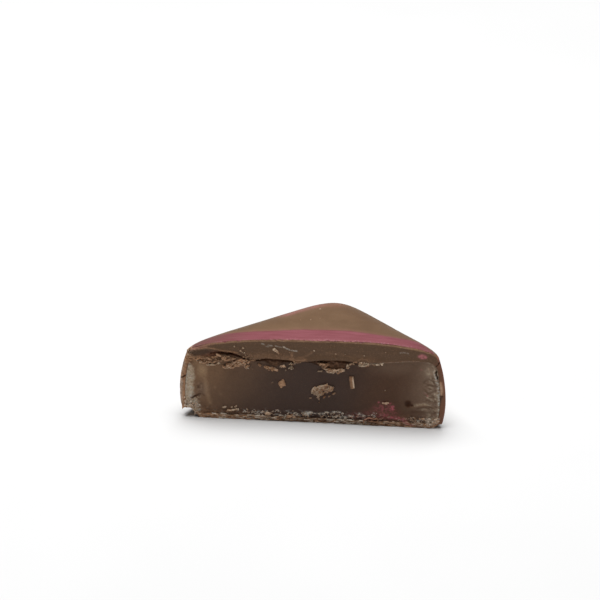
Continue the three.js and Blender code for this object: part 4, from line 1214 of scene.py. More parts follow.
flakes = {
    "face": 0.16,
    "mostForward": -0.36,
    # ribbons: path in the cut, height, depth, how far forward, tone, dust
    "ribbons": [
        ([(-18.4, 10.3), (-17.4, 10.15), (-16.2, 10.25), (-15.2, 10.4), (-14.3, 10.6), (-13.3, 10.6),
          (-12.45, 10.62)], 0.70, 1.3, 0.05, 0.55, 0.0),
        ([(-15.5, 10.75), (-14.9, 10.95), (-14.2, 10.98), (-13.6, 10.82), (-12.6, 10.82)], 0.44, 1.2,
         0.02, 0.28, 0.0),
        ([(-18.5, 10.5), (-17.9, 10.56), (-17.4, 10.3), (-17.0, 10.42), (-15.9, 10.5)], 0.26, 0.9, 0.1,
         0.65, 0.0),
        ([(-18.3, 9.95), (-17.2, 9.8), (-16.2, 9.75), (-15.2, 9.95)], 0.42, 0.8, 0.10, 0.65, 0.1),
        ([(-16.9, 9.38), (-16.3, 9.33), (-15.7, 9.42)], 0.26, 0.5, 0.12, 0.6, 0.8),
        ([(-14.25, 9.2), (-13.3, 9.35), (-12.4, 9.65), (-11.3, 9.85), (-10.1, 9.85)], 0.95, 1.2, 0.12,
         1.0, 0.0),
        ([(-12.4, 10.1), (-11.4, 10.38), (-10.7, 10.45), (-10.05, 10.4)], 0.34, 1.1, 0.18, 0.8, 0.0),
        ([(-14.3, 9.15), (-13.6, 8.98), (-12.9, 9.08), (-12.2, 9.2)], 0.24, 0.7, 0.2, 0.8, 0.4),
        ([(-11.9, 9.9), (-11.2, 10.1), (-10.5, 10.05)], 0.22, 0.8, 0.22, 0.85, 0.0),
        ([(-10.0, 10.35), (-9.4, 10.5), (-8.9, 10.55)], 0.24, 0.7, 0.16, 0.4, 0.0),
        ([(-7.7, 9.5), (-6.9, 9.22), (-6.2, 9.08), (-5.55, 8.88)], 0.42, 0.8, 0.12, 0.8, 0.0),
        ([(-8.7, 9.85), (-8.1, 9.45)], 0.42, 0.6, 0.08, 0.45, 0.0),
        ([(-6.0, 9.1), (-5.5, 8.92)], 0.34, 0.6, 0.2, 0.75, 0.4),
        ([(-5.1, 9.6), (-4.45, 9.62)], 0.3, 0.5, 0.14, 0.7, 0.35),
        ([(-3.1, 10.85), (-2.75, 10.5), (-2.3, 10.42), (-1.5, 10.66)], 0.22, 0.6, 0.16, 0.5, 0.1),
        ([(0.95, 10.3), (1.6, 10.38), (2.3, 10.25), (2.85, 10.1)], 0.44, 0.9, 0.08, 0.5, 0.0),
        ([(1.65, 10.3), (1.75, 9.8), (2.15, 9.45), (3.0, 9.25), (4.0, 9.22), (4.95, 9.5)], 0.46, 0.9,
         0.10, 0.55, 0.0),
        ([(2.1, 9.22), (2.7, 9.02), (3.3, 8.97)], 0.18, 0.5, 0.18, 0.6, 0.6),
        ([(4.0, 9.2), (4.5, 9.3), (5.05, 9.5)], 0.42, 0.8, 0.2, 0.7, 0.75),
        ([(0.75, 9.05), (1.2, 9.1), (1.7, 9.25)], 0.22, 0.4, 0.12, 0.4, 0.5),
        ([(5.3, 9.85), (5.75, 10.25), (6.4, 10.8)], 0.26, 0.5, 0.12, 0.9, 0.4),
        ([(7.35, 10.7), (7.9, 10.85), (8.4, 10.8), (8.95, 10.85)], 0.36, 0.4, -0.02, 0.9, 0.5),
        ([(7.5, 10.45), (8.1, 10.4), (8.7, 10.6)], 0.2, 0.5, 0.16, 1.1, 0.8),
        ([(-5.15, 9.75), (-4.7, 9.68), (-4.35, 9.85)], 0.36, 0.5, 0.14, 0.9, 0.45),
        ([(-3.65, 9.5), (-3.3, 9.68), (-3.1, 9.75)], 0.22, 0.4, 0.14, 0.7, 1.0),
        ([(5.75, 10.5), (6.3, 10.45)], 0.36, 0.6, 0.10, 0.5, 0.2),
        ([(6.4, 10.95), (7.2, 11.0)], 0.26, 0.6, 0.16, 0.4, 0.0),
        ([(9.0, 10.68), (10.2, 10.8), (11.4, 10.94)], 0.13, 0.4, 0.06, 0.5, 0.9),
        ([(-13.85, 1.3), (-12.8, 1.42), (-11.8, 1.66)], 0.34, 0.7, 0.16, 0.5, 0.0),
        ([(8.2, 1.0), (8.92, 1.32), (9.88, 1.2), (10.4, 1.3), (10.6, 1.0), (10.2, 0.7), (9.24, 0.77),
          (8.6, 0.8)], 0.15, 0.4, 0.36, 0.6, 0.02),
        ([(8.15, 1.0), (8.25, 0.6), (8.5, 0.3)], 0.14, 0.4, 0.3, 0.5, 0.05),
        ([(-13.7, 1.48), (-12.8, 1.6), (-11.9, 1.82)], 0.07, 0.4, 0.26, 0.7, 0.7),
        ([(11.1, 4.0), (11.7, 3.95), (12.25, 4.15)], 0.22, 0.4, 0.14, 0.7, 0.5),
    ],
    # heaps of small bits inside an outline: outline, how many, length, height, tone, dust
    "heaps": [
        ([(-18.6, 10.5), (-16.9, 10.6), (-16.2, 10.45), (-15.3, 10.85), (-14.9, 11.2), (-13.9, 11.05),
          (-12.5, 10.9), (-12.4, 10.5), (-13.5, 10.2), (-15.6, 9.85), (-17.0, 9.95), (-18.4, 10.0)], 70,
         0.7, 0.18, 0.75, 0.08),
        ([(-14.3, 9.25), (-13.56, 8.93), (-12.66, 9.11), (-11.6, 9.39), (-10.55, 9.2), (-10.1, 9.3),
          (-10.05, 10.5), (-11.35, 10.45), (-12.0, 10.35), (-12.41, 10.05), (-13.4, 9.65)], 110, 0.4,
         0.18, 1.35, 0.2),
        ([(-13.9, 9.3), (-13.2, 9.8), (-12.3, 10.05), (-11.6, 10.1), (-11.6, 9.6), (-13.0, 9.2)], 30, 0.5,
         0.22, 1.2, 0.15),
        ([(-7.7, 9.7), (-6.8, 9.4), (-5.6, 9.1), (-5.4, 8.8), (-6.4, 8.9), (-7.5, 9.3)], 22, 0.34, 0.18,
         1.0, 0.15),
        ([(0.9, 10.5), (1.8, 10.6), (2.85, 10.2), (2.6, 9.85), (1.6, 10.0)], 18, 0.4, 0.18, 0.55, 0.05),
        ([(1.6, 9.8), (2.2, 9.25), (3.2, 8.95), (4.2, 8.9), (5.05, 9.3), (5.0, 9.65), (4.2, 9.5),
          (3.2, 9.5), (2.3, 9.75)], 46, 0.34, 0.17, 0.85, 0.35),
        ([(7.3, 10.95), (8.2, 11.1), (9.0, 11.0), (9.05, 10.5), (7.9, 10.2), (7.3, 10.3)], 60, 0.24, 0.12,
         1.6, 1.2),
        ([(-0.05, 5.5), (0.15, 6.2), (1.1, 6.45), (2.37, 6.95), (2.85, 6.48), (3.4, 6.42), (3.1, 5.7),
          (2.38, 5.5), (1.43, 4.95), (0.47, 5.04)], 170, 0.28, 0.17, 1.5, 0.4),
        ([(-0.1, 5.2), (0.1, 6.1), (0.8, 6.2), (1.0, 5.3), (1.6, 4.9), (0.6, 4.7)], 50, 0.22, 0.14, 1.2,
         1.4),
        ([(1.1, 6.4), (2.37, 6.95), (2.85, 6.48), (3.4, 6.42), (3.1, 5.9), (2.0, 6.1)], 50, 0.24, 0.15,
         1.8, 0.5),
        ([(-18.5, 10.1), (-17.7, 10.1), (-17.3, 9.6), (-18.1, 9.5)], 12, 0.2, 0.14, 0.7, 0.9),
        ([(-17.0, 9.6), (-15.6, 9.5), (-15.0, 9.8), (-14.6, 10.0), (-14.7, 9.7), (-15.6, 9.3),
          (-16.9, 9.3)], 30, 0.24, 0.14, 1.1, 2.6),
        ([(-14.2, 9.25), (-13.5, 8.95), (-12.6, 9.1), (-12.7, 9.35), (-13.6, 9.2)], 18, 0.26, 0.14, 0.8,
         0.8),
        ([(-10.75, 9.4), (-10.1, 9.45), (-10.15, 9.1), (-10.6, 9.05)], 12, 0.24, 0.15, 0.8, 0.95),
        ([(-19.95, 11.0), (-19.75, 11.8), (-19.5, 12.1), (-19.2, 11.9), (-19.3, 11.3), (-19.6, 10.9)], 9,
         0.3, 0.3, 0.7, 0.2),
        ([(8.4, 10.6), (9.4, 10.7), (11.2, 10.95), (11.2, 10.8), (9.4, 10.5)], 14, 0.24, 0.11, 0.6, 1.1),
        ([(-5.2, 9.9), (-4.3, 10.0), (-4.3, 9.5), (-5.2, 9.5)], 6, 0.25, 0.15, 0.9, 0.4),
        ([(-3.7, 10.2), (-3.0, 10.5), (-2.3, 10.6), (-2.4, 10.3), (-3.6, 9.9)], 12, 0.2, 0.12, 0.8, 0.35),
        ([(-3.8, 9.7), (-3.0, 9.8), (-3.0, 9.4), (-3.9, 9.3)], 5, 0.16, 0.11, 0.6, 0.6),
        ([(5.3, 10.2), (6.5, 11.0), (6.6, 10.6), (5.7, 9.8)], 10, 0.22, 0.14, 0.8, 0.25),
    ],
    # lumps: x, z, length, height, depth, lean, tone, dust
    "lumps": [
        (1.9, 5.95, 2.1, 0.6, 0.2, 0.22, 0.5, 0.0), (0.7, 5.5, 0.8, 0.6, 0.2, -0.1, 0.5, 0.2),
        (7.9, 10.62, 0.8, 0.34, 0.2, 0.1, 0.6, 0.1), (8.5, 10.8, 0.6, 0.3, 0.2, -0.1, 0.6, 0.1),
        (1.91, 4.6, 0.5, 0.24, 0.5, 0.8, 0.75, 0.0), (2.72, 4.8, 0.4, 0.24, 0.5, 0.6, 0.6, 0.2),
        (3.42, 5.28, 0.5, 0.24, 0.5, 0.3, 0.6, 0.2), (0.95, 4.53, 0.45, 0.3, 0.4, 0.6, 0.5, 0.5),
        (1.11, 4.19, 0.22, 0.3, 0.4, 0.0, 0.5, 0.4), (1.1, 3.57, 0.14, 0.14, 0.3, 0.0, 0.6, 0.1),
        (-0.25, 4.29, 0.4, 0.12, 0.3, 0.1, 0.5, 0.2), (-4.2, 9.0, 0.25, 0.18, 0.4, 0.0, 0.4, 0.4),
        (-7.07, 1.2, 0.9, 0.6, 0.7, 0.1, 0.8, 0.4), (-3.7, 0.9, 0.95, 0.42, 0.7, 0.1, 0.8, 0.2),
        (-2.9, 0.8, 0.5, 0.3, 0.6, 0.0, 0.5, 0.3), (-14.05, 2.0, 0.55, 0.26, 0.4, 0.3, 0.5, 0.7),
        (-12.9, 2.04, 0.3, 0.2, 0.3, 0.2, 0.4, 0.5), (-12.27, 2.16, 0.4, 0.2, 0.3, 0.3, 0.4, 0.5),
        (-11.85, 1.66, 0.24, 0.24, 0.5, 0.0, 0.5, 0.9),
    ],
    # the upright bar, and the diamond: x, z, length, height, depth, lean
    "upright": (6.29, 7.42, 0.64, 2.05, 0.9, 0.13),
    "diamond": (-4.83, 6.6, 1.16, 1.6, 0.7, -0.17),
    # the bar's light edge: how far to the right, its length, its share of the height, how much deeper
    "uprightEdge": (0.26, 0.2, 0.95, 0.1),
    # crumbs on the cut: x, z, size, tone, dust
    "dots": [
        (-11.37, 11.98, 0.34, 0.6, 0.5), (-11.1, 11.85, 0.2, 0.5, 0.4), (-10.75, 11.72, 0.28, 0.4, 0.35),
        (-10.92, 12.54, 0.28, 0.4, 0.45), (-12.34, 12.73, 0.22, 0.3, 0.35), (-6.05, 12.5, 0.5, 0.8, 0.8),
        (-5.8, 12.3, 0.46, 0.8, 0.5), (-5.5, 12.1, 0.4, 0.6, 0.2), (-5.3, 11.9, 0.3, 0.5, 0.1),
        (-4.47, 13.0, 0.2, 0.4, 0.8), (3.72, 12.23, 0.26, 0.7, 0.3), (5.21, 12.22, 0.14, 0.4, 0.4),
        (8.23, 12.15, 0.2, 0.3, 0.7), (11.55, 12.89, 0.22, 0.5, 0.3), (0.30, 12.64, 0.26, 0.4, 0.5),
        (-3.0, 11.2, 0.24, 0.5, 0.1), (-3.1, 11.6, 0.2, 0.45, 0.1), (-3.6, 12.1, 0.2, 0.4, 0.1),
        (-9.2, 10.9, 0.25, 0.35, 0.2), (-10.0, 11.2, 0.3, 0.4, 0.1), (3.9, 11.4, 0.22, 0.4, 0.3),
        (-17.88, 9.69, 0.26, 0.6, 0.8), (-15.01, 9.72, 0.28, 0.5, 0.7), (-16.5, 9.38, 0.3, 0.5, 0.6),
        (-19.8, 10.9, 0.24, 0.6, 0.8), (-20.4, 3.4, 0.22, 0.6, 0.8), (-20.14, 5.71, 0.16, 0.5, 0.7),
        (-6.32, 6.74, 0.18, 0.3, 0.5), (11.58, 6.25, 0.14, 0.3, 0.5), (-19.04, 2.4, 0.3, 0.5, 1.0),
        (-9.4, 8.9, 0.14, 0.4, 0.1), (-18.24, 3.58, 0.2, 0.4, 0.3), (-13.6, 9.0, 0.3, 0.6, 0.7),
        (-10.35, 9.22, 0.34, 0.6, 0.75), (-10.7, 9.2, 0.24, 0.6, 0.4), (-4.9, 9.55, 0.24, 0.6, 0.6),
        (4.9, 9.35, 0.3, 0.6, 0.6), (4.5, 9.1, 0.26, 0.6, 0.5), (7.5, 10.75, 0.24, 1.0, 1.2),
        (7.7, 10.5, 0.26, 1.0, 0.9), (7.9, 10.98, 0.22, 1.0, 1.4), (8.1, 10.6, 0.28, 1.0, 1.2),
        (8.3, 10.92, 0.24, 1.0, 0.9), (8.5, 10.62, 0.24, 1.0, 1.4), (8.72, 10.85, 0.24, 1.0, 1.2),
        (8.95, 10.65, 0.2, 1.0, 1.0), (8.0, 10.34, 0.2, 1.0, 0.8), (9.2, 10.74, 0.2, 0.8, 1.4),
        (9.6, 10.78, 0.16, 0.8, 1.6), (10.1, 10.82, 0.18, 0.8, 1.4), (10.6, 10.88, 0.14, 0.8, 1.2),
        (-10.9, 11.0, 0.32, 0.5, 0.1), (-10.5, 10.85, 0.28, 0.6, 0.2), (-10.2, 11.05, 0.24, 0.5, 0.15),
        (-9.8, 10.8, 0.32, 0.5, 0.1), (-9.5, 11.1, 0.2, 0.4, 0.1), (-9.1, 10.7, 0.26, 0.5, 0.15),
        (-8.7, 10.95, 0.2, 0.4, 0.2), (-10.6, 11.35, 0.2, 0.5, 0.25), (-9.95, 11.4, 0.18, 0.4, 0.2),
        (-8.3, 10.75, 0.2, 0.4, 0.1),
    ],
}

scraps = {
    # grains lying on the top, in plan: x, y, size, dust
    "topGrains": [
        (-0.13, 13.66, 0.34, 0.3), (-1.09, 8.28, 0.24, 0.12), (0.37, 8.91, 0.18, 0.08),
        (-2.75, 8.35, 0.18, 0.08),
    ],
    # the brightest white patches along the bottom: x, z, width along x, width along z, strength
    "whitePatches": [
        (-0.95, 1.38, 0.6, 0.44, 1.9), (-0.35, 1.62, 0.48, 0.3, 1.6), (-1.4, 1.55, 0.34, 0.2, 0.9),
        (2.3, 1.86, 0.36, 0.18, 0.8), (1.7, 1.62, 0.3, 0.16, 0.6), (3.4, 1.96, 0.42, 0.16, 0.7),
        (4.4, 1.96, 0.3, 0.14, 0.7), (4.0, 1.32, 0.4, 0.16, 0.6), (5.25, 1.16, 0.5, 0.24, 0.9),
        (5.9, 1.42, 0.36, 0.16, 0.7), (-2.75, 1.42, 0.36, 0.18, 0.7), (-4.5, 0.78, 0.4, 0.2, 0.7),
        (-5.45, 1.74, 0.34, 0.16, 0.6), (-8.0, 1.26, 0.5, 0.2, 0.7), (-9.3, 1.34, 0.4, 0.14, 0.6),
        (-7.3, 1.42, 0.36, 0.22, 0.7), (7.0, 0.62, 0.7, 0.14, 0.5), (3.2, 0.55, 0.8, 0.14, 0.5),
        (16.4, 0.75, 0.4, 0.2, 0.5), (19.5, 0.95, 0.4, 0.3, 0.5),
    ],
    # white clusters along the bottom: x, z, spread, how many
    "clusters": [
        (-10.8, 1.42, 0.22, 5), (-9.4, 1.35, 0.22, 9), (-8.7, 1.2, 0.26, 11), (-8.0, 1.3, 0.24, 12),
        (-7.4, 1.38, 0.18, 8), (-5.5, 1.75, 0.18, 6), (-4.9, 0.95, 0.16, 8), (-4.5, 0.72, 0.18, 10),
        (-4.0, 1.0, 0.16, 6), (-3.0, 1.0, 0.16, 6), (-2.7, 1.42, 0.2, 9), (-2.3, 1.2, 0.16, 5),
        (-1.0, 1.5, 0.16, 12), (-0.8, 1.15, 0.16, 12), (-0.1, 1.62, 0.16, 10), (0.4, 1.5, 0.12, 4),
        (1.2, 1.45, 0.22, 6), (1.8, 1.6, 0.2, 8), (2.35, 1.85, 0.18, 12), (2.9, 1.75, 0.16, 6),
        (3.5, 1.95, 0.2, 9), (4.3, 2.0, 0.16, 8), (4.8, 1.75, 0.14, 5), (3.9, 1.3, 0.2, 9),
        (4.5, 1.2, 0.18, 8), (5.3, 1.1, 0.2, 14), (6.0, 1.45, 0.2, 8), (6.5, 1.35, 0.18, 6),
        (7.6, 1.85, 0.22, 6), (8.2, 1.55, 0.22, 5), (9.8, 1.5, 0.3, 5), (9.9, 2.0, 0.2, 4),
        (15.9, 1.2, 0.2, 6), (16.4, 0.6, 0.25, 10), (16.9, 1.1, 0.2, 5), (17.5, 1.4, 0.2, 5),
        (18.5, 1.35, 0.35, 12), (19.3, 0.8, 0.35, 14), (20.0, 1.7, 0.22, 8), (-18.9, 2.5, 0.35, 12),
        (-19.7, 2.8, 0.35, 8), (-18.4, 2.0, 0.3, 9), (-18.2, 1.3, 0.25, 7), (-19.6, 8.9, 0.14, 5),
        (-19.5, 6.9, 0.3, 6), (-19.4, 5.2, 0.3, 6), (-19.75, 2.0, 0.35, 8),
    ],
    # the share of those that are laid as grains; the wisps between them are painted
    "grainShare": 0.6,
    # how many brown scraps, flat ones lower down, and crumbs at the left and right ends
    "brown": 90,
    "flat": 170,
    "leftEnd": 70,
    "rightEnd": 100,
}


# White wisps in the clusters along the bottom: soft spots broken up by fine level waves.
def whiteWisps(x, z):
    places = [(px, pz, 1.8 * spread, 1.2 * spread, 1) for px, pz, spread, _ in scraps["clusters"]]
    broken = noise(x * 3.1, z * 4.8, 6.9) + 0.8 * noise(x * 7.5, z * 9.5, 2.9)
    patches = spots(x, z, scraps["whitePatches"]) * (0.75 + 0.8 * broken)
    return strongest(spots(x, z, places) * smoothStep(-0.05, 0.3, broken), patches)


# Pushes points about by noise, in layers that lie along x.
def roughened(points, seed, amount):
    x, y, z = np.moveaxis(points, -1, 0)
    moved = [amount * (0.6 * noise(x * 1.6 + seed, y * 2.5 + k, z * 4.2)
                       + 0.4 * noise(x * 4.5 + seed, y * 5 + k, z * 8)
                       + 0.25 * noise(x * 9 + seed, y * 9 + k, z * 11)) for k in (3.1, 6.2, 9.3)]
    return points + np.stack(moved, -1)


# A strip laid along a path in the cut: across each step of the path an ellipse, thinner towards both ends
# and uneven along its length.
def ribbon(path, tall, deep, forward):
    path = np.array(path, float)
    along = np.concatenate([[0], np.cumsum(np.hypot(*np.diff(path, axis=0).T))])
    share = np.linspace(0, 1, max(12, int(along[-1] / 0.08)))
    s = share * along[-1]
    x, z = (sum(np.interp(s + 0.12 * k, along, path[:, axis]) for k in (-1, 0, 1)) / 3 for axis in (0, 1))
    tx, tz = np.gradient(x), np.gradient(z)
    size = np.hypot(tx, tz) + 1e-9
    tx, tz = (tx / size)[:, None], (tz / size)[:, None]
    turn = np.linspace(0, 2 * math.pi, 12 + int(14 * (tall + deep)) + 1)[:-1]
    seed = chance.uniform(0, 90)
    ends = np.clip(1 - np.abs(2 * share - 1) ** 5, 0.02, 1)[:, None] ** 0.6
    uneven = 1 + 0.45 * noise(s * 1.6 + seed, 0.5)[:, None] + 0.3 * noise(s * 4.5 + seed, 1.5)[:, None]
    a = tall / 2 * ends * uneven
    b = deep / 2 * ends * (1 + 0.3 * noise(s * 2.2 + seed, 2.5)[:, None])
    lift = 0.25 * noise(s * 1.3 + seed, 3.5)[:, None] * tall
    across, out = a * np.sin(turn), b * np.cos(turn)
    px = x[:, None] - tz * (across + lift)
    pz = z[:, None] + tx * (across + lift)
    py = flakes["face"] - forward + deep / 2 - 0.2 + out
    return roughened(np.stack([px, py, pz], -1), seed, 0.26)


# A number's size raised to a power, with its sign kept.
def powered(v, power):
    return np.sign(v) * np.abs(v) ** power


# A lump: a ball whose sides are flattened by a power below 1, stretched and leaned in the plane of the cut.
def lump(x, z, long, tall, deep, lean, forward=0.12, flat=0.8, rough=0.22, rows=18, columns=26,
         turnFlat=None):
    tilt = np.linspace(-89, 89, rows)[:, None] * math.pi / 180
    turn = np.linspace(0, 2 * math.pi, columns + 1)[:-1]
    seed = chance.uniform(0, 90)
    a = powered(np.cos(tilt), flat) * powered(np.cos(turn), turnFlat or flat)
    b = powered(np.cos(tilt), flat) * powered(np.sin(turn), turnFlat or flat)
    c = powered(np.sin(tilt), flat) + 0 * turn
    r = 0.5 * (1 + 2.2 * rough * noise(a * 1.4 + seed, b * 1.4, c * 1.4))
    a, b, c = a * r * long, b * r * deep, c * r * tall
    px = x + a * math.cos(lean) - c * math.sin(lean)
    pz = z + c * math.cos(lean) + a * math.sin(lean)
    py = flakes["face"] - forward + b
    return roughened(np.stack([px, py, pz], -1), seed, rough * min(long, tall, 1.0))


# A grain: a lump of a few faces.
def grain(x, z, long, tall, deep, lean, forward, flat=0.8, rough=0.3, rows=7, columns=9):
    return lump(x, z, long, tall, deep, lean, forward, flat, rough, rows, columns)


# Whether a point is inside an outline: a ray to the right crosses it an odd number of times.
def isInside(x, z, outline):
    crossings = 0
    for (ax, az), (bx, bz) in zip(outline, outline[1:] + outline[:1]):
        if (az > z) != (bz > z) and x < ax + (z - az) * (bx - ax) / (bz - az):
            crossings += 1
    return crossings % 2 == 1


# Small bits thrown at random inside an outline.
def heap(outline, count, long, tall, tone, dust):
    xs, zs = zip(*outline)
    made = []
    while len(made) < count:
        x, z = chance.uniform(min(xs), max(xs)), chance.uniform(min(zs), max(zs))
        if isInside(x, z, outline):
            size = chance.uniform(0.5, 1.4)
            shape = grain(x, z, long * size, tall * size, 0.45, chance.normal(0.15, 0.45),
                          chance.uniform(0.0, 0.34), 0.75, 0.35)
            made.append((shape, tone * chance.uniform(0.15, 1.5), dust * chance.uniform(0.0, 2.4)))
    return made


# One mesh of many ring solids, each with its own tone and dust. What would stand out too far in front of
# the cut is pressed back.
def joinedSolids(name, solids, grainy):
    points, quads, fans, masks, offset = [], [], [], [], 0
    for rings, tone, dust in solids:
        own, (ownQuads, lowFan, highFan) = ringParts(rings)
        points.append(own)
        quads.append(ownQuads + offset)
        fans.extend([lowFan + offset, highFan + offset])
        masks.append(np.tile((tone, dust), (len(own), 1)))
        offset += len(own)
    x, y, z = np.concatenate(points).T
    y = np.maximum(y, flakes["mostForward"] + 0.1 * (y - flakes["mostForward"]))
    z = np.maximum(z, 0.02)
    piece = makeObject(name, np.stack([x, y, z], -1), [np.concatenate(quads), np.concatenate(fans)])
    smoothShade(piece, 50)
    tone, dust = np.concatenate(masks).T
    mottled = noise(x * 3.0, y * 3.0, z * 3.0) + 0.6 * noise(x * 7, y * 7, z * 7)
    keepMasks(piece, {
        "crumb": tone * (1 + 0.7 * mottled),
        "dust": dust * (1 + 1.2 * grainy * mottled),
        "blush": 1.1 * spots(x, z, jellyForm["stain"]) * (0.6 + noise(x * 2.2, z * 2.2, 8.8)),
        "cut": 1,
        "grainy": grainy,
    })
    print(name + ":", len(solids), "solids")
    return piece


# The torn ribbons and lumps along the top of the jelly, the heap in the middle, the upright bar, the
# diamond and the larger crumbs.
def makeFlakes():
    solids = [(ribbon(path, tall, deep, forward), tone, dust)
              for path, tall, deep, forward, tone, dust in flakes["ribbons"]]
    solids += [(lump(x, z, long, tall, deep, lean), tone, dust)
               for x, z, long, tall, deep, lean, tone, dust in flakes["lumps"]]
    for outline, count, long, tall, tone, dust in flakes["heaps"]:
        solids += heap(outline, count, long, tall, tone, dust)
    x, z, wide, tall, deep, lean = flakes["upright"]
    bar = lump(x, z, wide, tall, deep, lean, flat=0.35, rough=0.10, rows=40, columns=32)
    right, edgeWide, share, deeper = flakes["uprightEdge"]
    edge = lump(x + right, z, edgeWide, tall * share, deep + deeper, lean, 0.18, 0.4, 0.06, 30, 16)
    diamond = lump(*flakes["diamond"], 0.1, 1.7, 0.10, 31, 32, turnFlat=0.42)
    solids += [(bar, 0.42, 0.0), (edge, 1.2, 0.8), (diamond, 0.8, 0.05)]
    solids += [(grain(x, z, size, size * 0.85, 0.4, 0.3, 0.12, rows=8, columns=10), tone, dust)
               for x, z, size, tone, dust in flakes["dots"]]
    piece = joinedSolids("chocolate_flakes", solids, 0.9)
    setMaterial(piece, "flaked chocolate", chocolate)
    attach(piece, "root")


# White grains in the clusters, most of them short, and a few on the top.
def whiteGrains():
    for x, z, spread, count in scraps["clusters"]:
        for _ in range(int(count * scraps["grainShare"])):
            long = chance.uniform(0.1, 0.24) if chance.uniform() < 0.6 else chance.uniform(0.24, 0.45)
            shape = grain(x + chance.normal(0, spread), z + chance.normal(0, spread * 0.7), long,
                          chance.uniform(0.07, 0.15), 0.12, chance.normal(0.2, 0.5),
                          chance.uniform(0.04, 0.2), rows=5, columns=7)
            yield shape, chance.uniform(0.4, 0.8), chance.uniform(0.4, 1.8)
    for x, y, size, dust in scraps["topGrains"]:
        top = topPoint(np.array([x]), np.array([y]))[0, 2]
        rings = grain(x, top, size, size * 0.5, size, 0.1, 0.0)
        yield rings + (0, y - flakes["face"], 0), 0.3, dust


# Brown scraps at the foot of the jelly.
def brownScraps():
    for _ in range(scraps["brown"]):
        x = chance.uniform(-10.5, 19.5)
        shape = grain(x, chance.normal(1.25, 0.25), chance.uniform(0.15, 0.5), chance.uniform(0.1, 0.2),
                      0.25, chance.normal(0.1, 0.4), 0.04)
        yield shape, chance.uniform(0.2, 0.8), chance.uniform(0, 0.5)


# Flat scraps on the chocolate floor, lighter and dustier in some stretches.
def flatScraps():
    stretches = (-16.5, -5), (-5, 10), (2.5, 9), (11, 20)
    for _ in range(scraps["flat"]):
        x = chance.uniform(-17.5, 19.0)
        left, middle, pale, right = (float(a < x < b) for a, b in stretches)
        shape = grain(x, chance.uniform(0.1, 0.85), chance.uniform(0.3, 1.1), chance.uniform(0.06, 0.14),
                      0.25, chance.normal(0, 0.06), chance.uniform(0.1, 0.3), rough=0.2, columns=10)
        tone = chance.uniform(0.1, 0.7) + (1.05 * left + 0.5 * right) * chance.uniform(0, 1.5)
        dusty = 1 + 1.1 * middle + 1.8 * pale + 3.4 * left + right
        yield shape, tone, chance.uniform(0, 0.35) * dusty


# Crumbs at the left end, along the slanting lower edge, and at the right end, brighter further out.
def endCrumbs():
    for _ in range(scraps["leftEnd"]):
        z = chance.uniform(0.5, 2.9)
        x = -18.3 - 0.75 * z + chance.normal(0, 0.4)
        size = chance.uniform(0.15, 0.45)
        shape = grain(max(x, -20.3), max(z, 2.0 if x < -18.9 else z), size, size * 0.7, 0.5,
                      chance.normal(0, 0.5), 0.06)
        yield shape, chance.uniform(0.5, 1.0), chance.uniform(0.1, 1.1)
    for _ in range(scraps["rightEnd"]):
        x = 20.1 - 4.5 * chance.uniform() ** 1.7
        size = chance.uniform(0.15, 0.45)
        low = 0.2 if x < 19 else 0.9
        shape = grain(x, chance.uniform(low, 1.6), size, size * 0.7, 0.5, chance.normal(0, 0.5), 0.08)
        outer = float(smoothStep(16.8, 18.6, x))
        tone = chance.uniform(0.8, 2.0) * (0.3 + 1.3 * outer)
        yield shape, tone, chance.uniform(0.1, 1.2) * (0.3 + 1.25 * outer)


# Small scraps and grains along the bottom of the cut and at both ends.
def makeScraps():
    solids = [*whiteGrains(), *brownScraps(), *flatScraps(), *endCrumbs()]
    piece = joinedSolids("small_scraps", solids, 0.35)
    setMaterial(piece, "scraps", chocolate)
    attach(piece, "root")


# The lustre stroke

stroke = {
    # how far back the stroke reaches, in plan: [x, y]
    "backEdge": [
        (-19.6, 0.4), (-19.2, 1.0), (-18.1, 2.2), (-16.9, 3.2), (-15.3, 3.8), (-11.7, 3.7), (-9.3, 3.9),
        (-6.8, 3.8), (-4.4, 4.0), (-2, 4.3), (0.5, 4.3), (3.2, 4.4), (5.7, 4.4), (9, 3.8), (11.5, 3.45),
        (13.9, 3.4), (15.5, 3.6), (16.5, 3.7), (17.6, 2.6), (18.6, 1.2), (19.2, 0.5), (19.6, 0.2),
    ],
    # the grid in plan: its ends along x, its first row behind the cut, how far it goes past the back edge
    "left": -19.55,
    "right": 19.45,
    "first": 0.12,
    "spare": 0.45,
    "columns": 430,
    "rows": 58,
    # where the film ends: its front edge behind the cut, and how far out it goes at the left and right
    "front": 0.18,
    "endLeft": 19.25,
    "endRight": 19.15,
    "lift": 0.035,
    "thickness": 0.12,
}


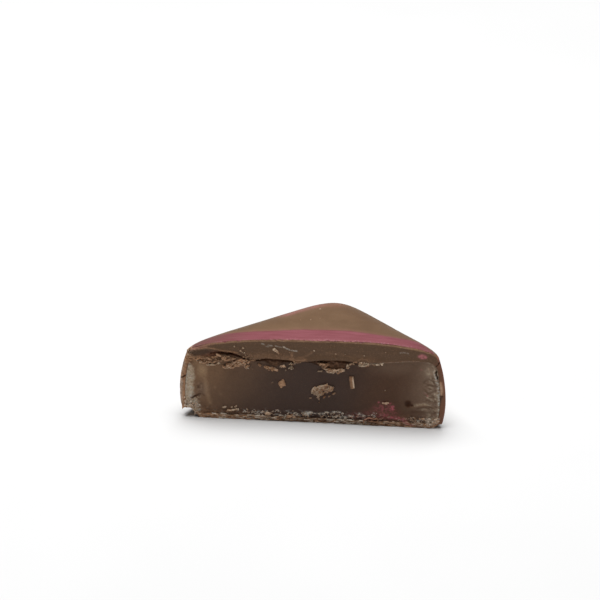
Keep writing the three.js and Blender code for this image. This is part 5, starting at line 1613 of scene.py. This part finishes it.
# The film over the top: a grid in plan, its height the top's plus a lift that falls below the coat where
# the stroke ends, closed below by the same grid a little lower.
def makeStroke():
    x = np.linspace(stroke["left"], stroke["right"], stroke["columns"])[None, :]
    share = np.linspace(0, 1, stroke["rows"])[:, None]
    reach = traced(stroke["backEdge"], x, 0.25)
    y = stroke["first"] + share * (reach + stroke["spare"] - stroke["first"])
    x = np.broadcast_to(x, y.shape)
    ragged = 0.10 * noise(x * 1.1, 3.2) + 0.07 * noise(x * 0.3, y * 7, 5.1)
    ragged = ragged + 0.05 * noise(x * 3.5, y * 3, 2.1)
    inside = smoothStep(-0.07, 0.07, reach + ragged - y)
    behindFront = y - stroke["front"]
    frontEdge = smoothStep(-0.05, 0.06, behindFront - 0.06 * noise(x * 1.9, 1.4) - 0.03 * noise(x * 6, 1.4))
    ends = smoothStep(0, 0.12, stroke["endLeft"] + x) * smoothStep(0, 0.12, stroke["endRight"] - x)
    cover = inside * frontEdge * ends
    lift = stroke["lift"] * (1 + 0.35 * noise(x * 0.3, y * 6, 7.4)) * cover
    lift = lift - (1 - cover) * (0.08 + 0.3 * (y < 0.2))
    outer = topPoint(x, y)
    inner = outer.copy()
    outer[..., 2] += lift
    inner[..., 2] += np.minimum(lift, 0) - stroke["thickness"]
    upper = gridQuads(*x.shape)
    edge = gridEdge(*x.shape)
    side = np.stack([edge, edge + x.size, np.roll(edge, -1) + x.size, np.roll(edge, -1)], -1)
    points = np.concatenate([outer.reshape(-1, 3), inner.reshape(-1, 3)])
    piece = makeObject("lustre_stroke_piece", points, [upper, upper[:, ::-1] + x.size, side])
    smoothShade(piece)
    thin = strongest(1 - smoothStep(0.0, 0.5, reach + ragged - y), 0.95 * smoothStep(9, 17.5, -x),
                     0.5 * smoothStep(15.5, 18.5, x), 0.5 * smoothStep(0.30, 0.0, behindFront))
    # where the painted glints go: near the front edge, more towards the right
    sparkle = smoothStep(0.9, 0.1, behindFront) * (0.4 + 0.6 * smoothStep(-4, 8, x))
    keepMasks(piece, {"thin": np.tile(thin.ravel(), 2), "sparkle": np.tile(sparkle.ravel(), 2)})
    setMaterial(piece, "pink lustre", lustre)
    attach(piece, "root")
    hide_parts("lustre_stroke")


addStage()
makeCoat()
makeJelly()
makeFlakes()
makeScraps()
makeStroke()
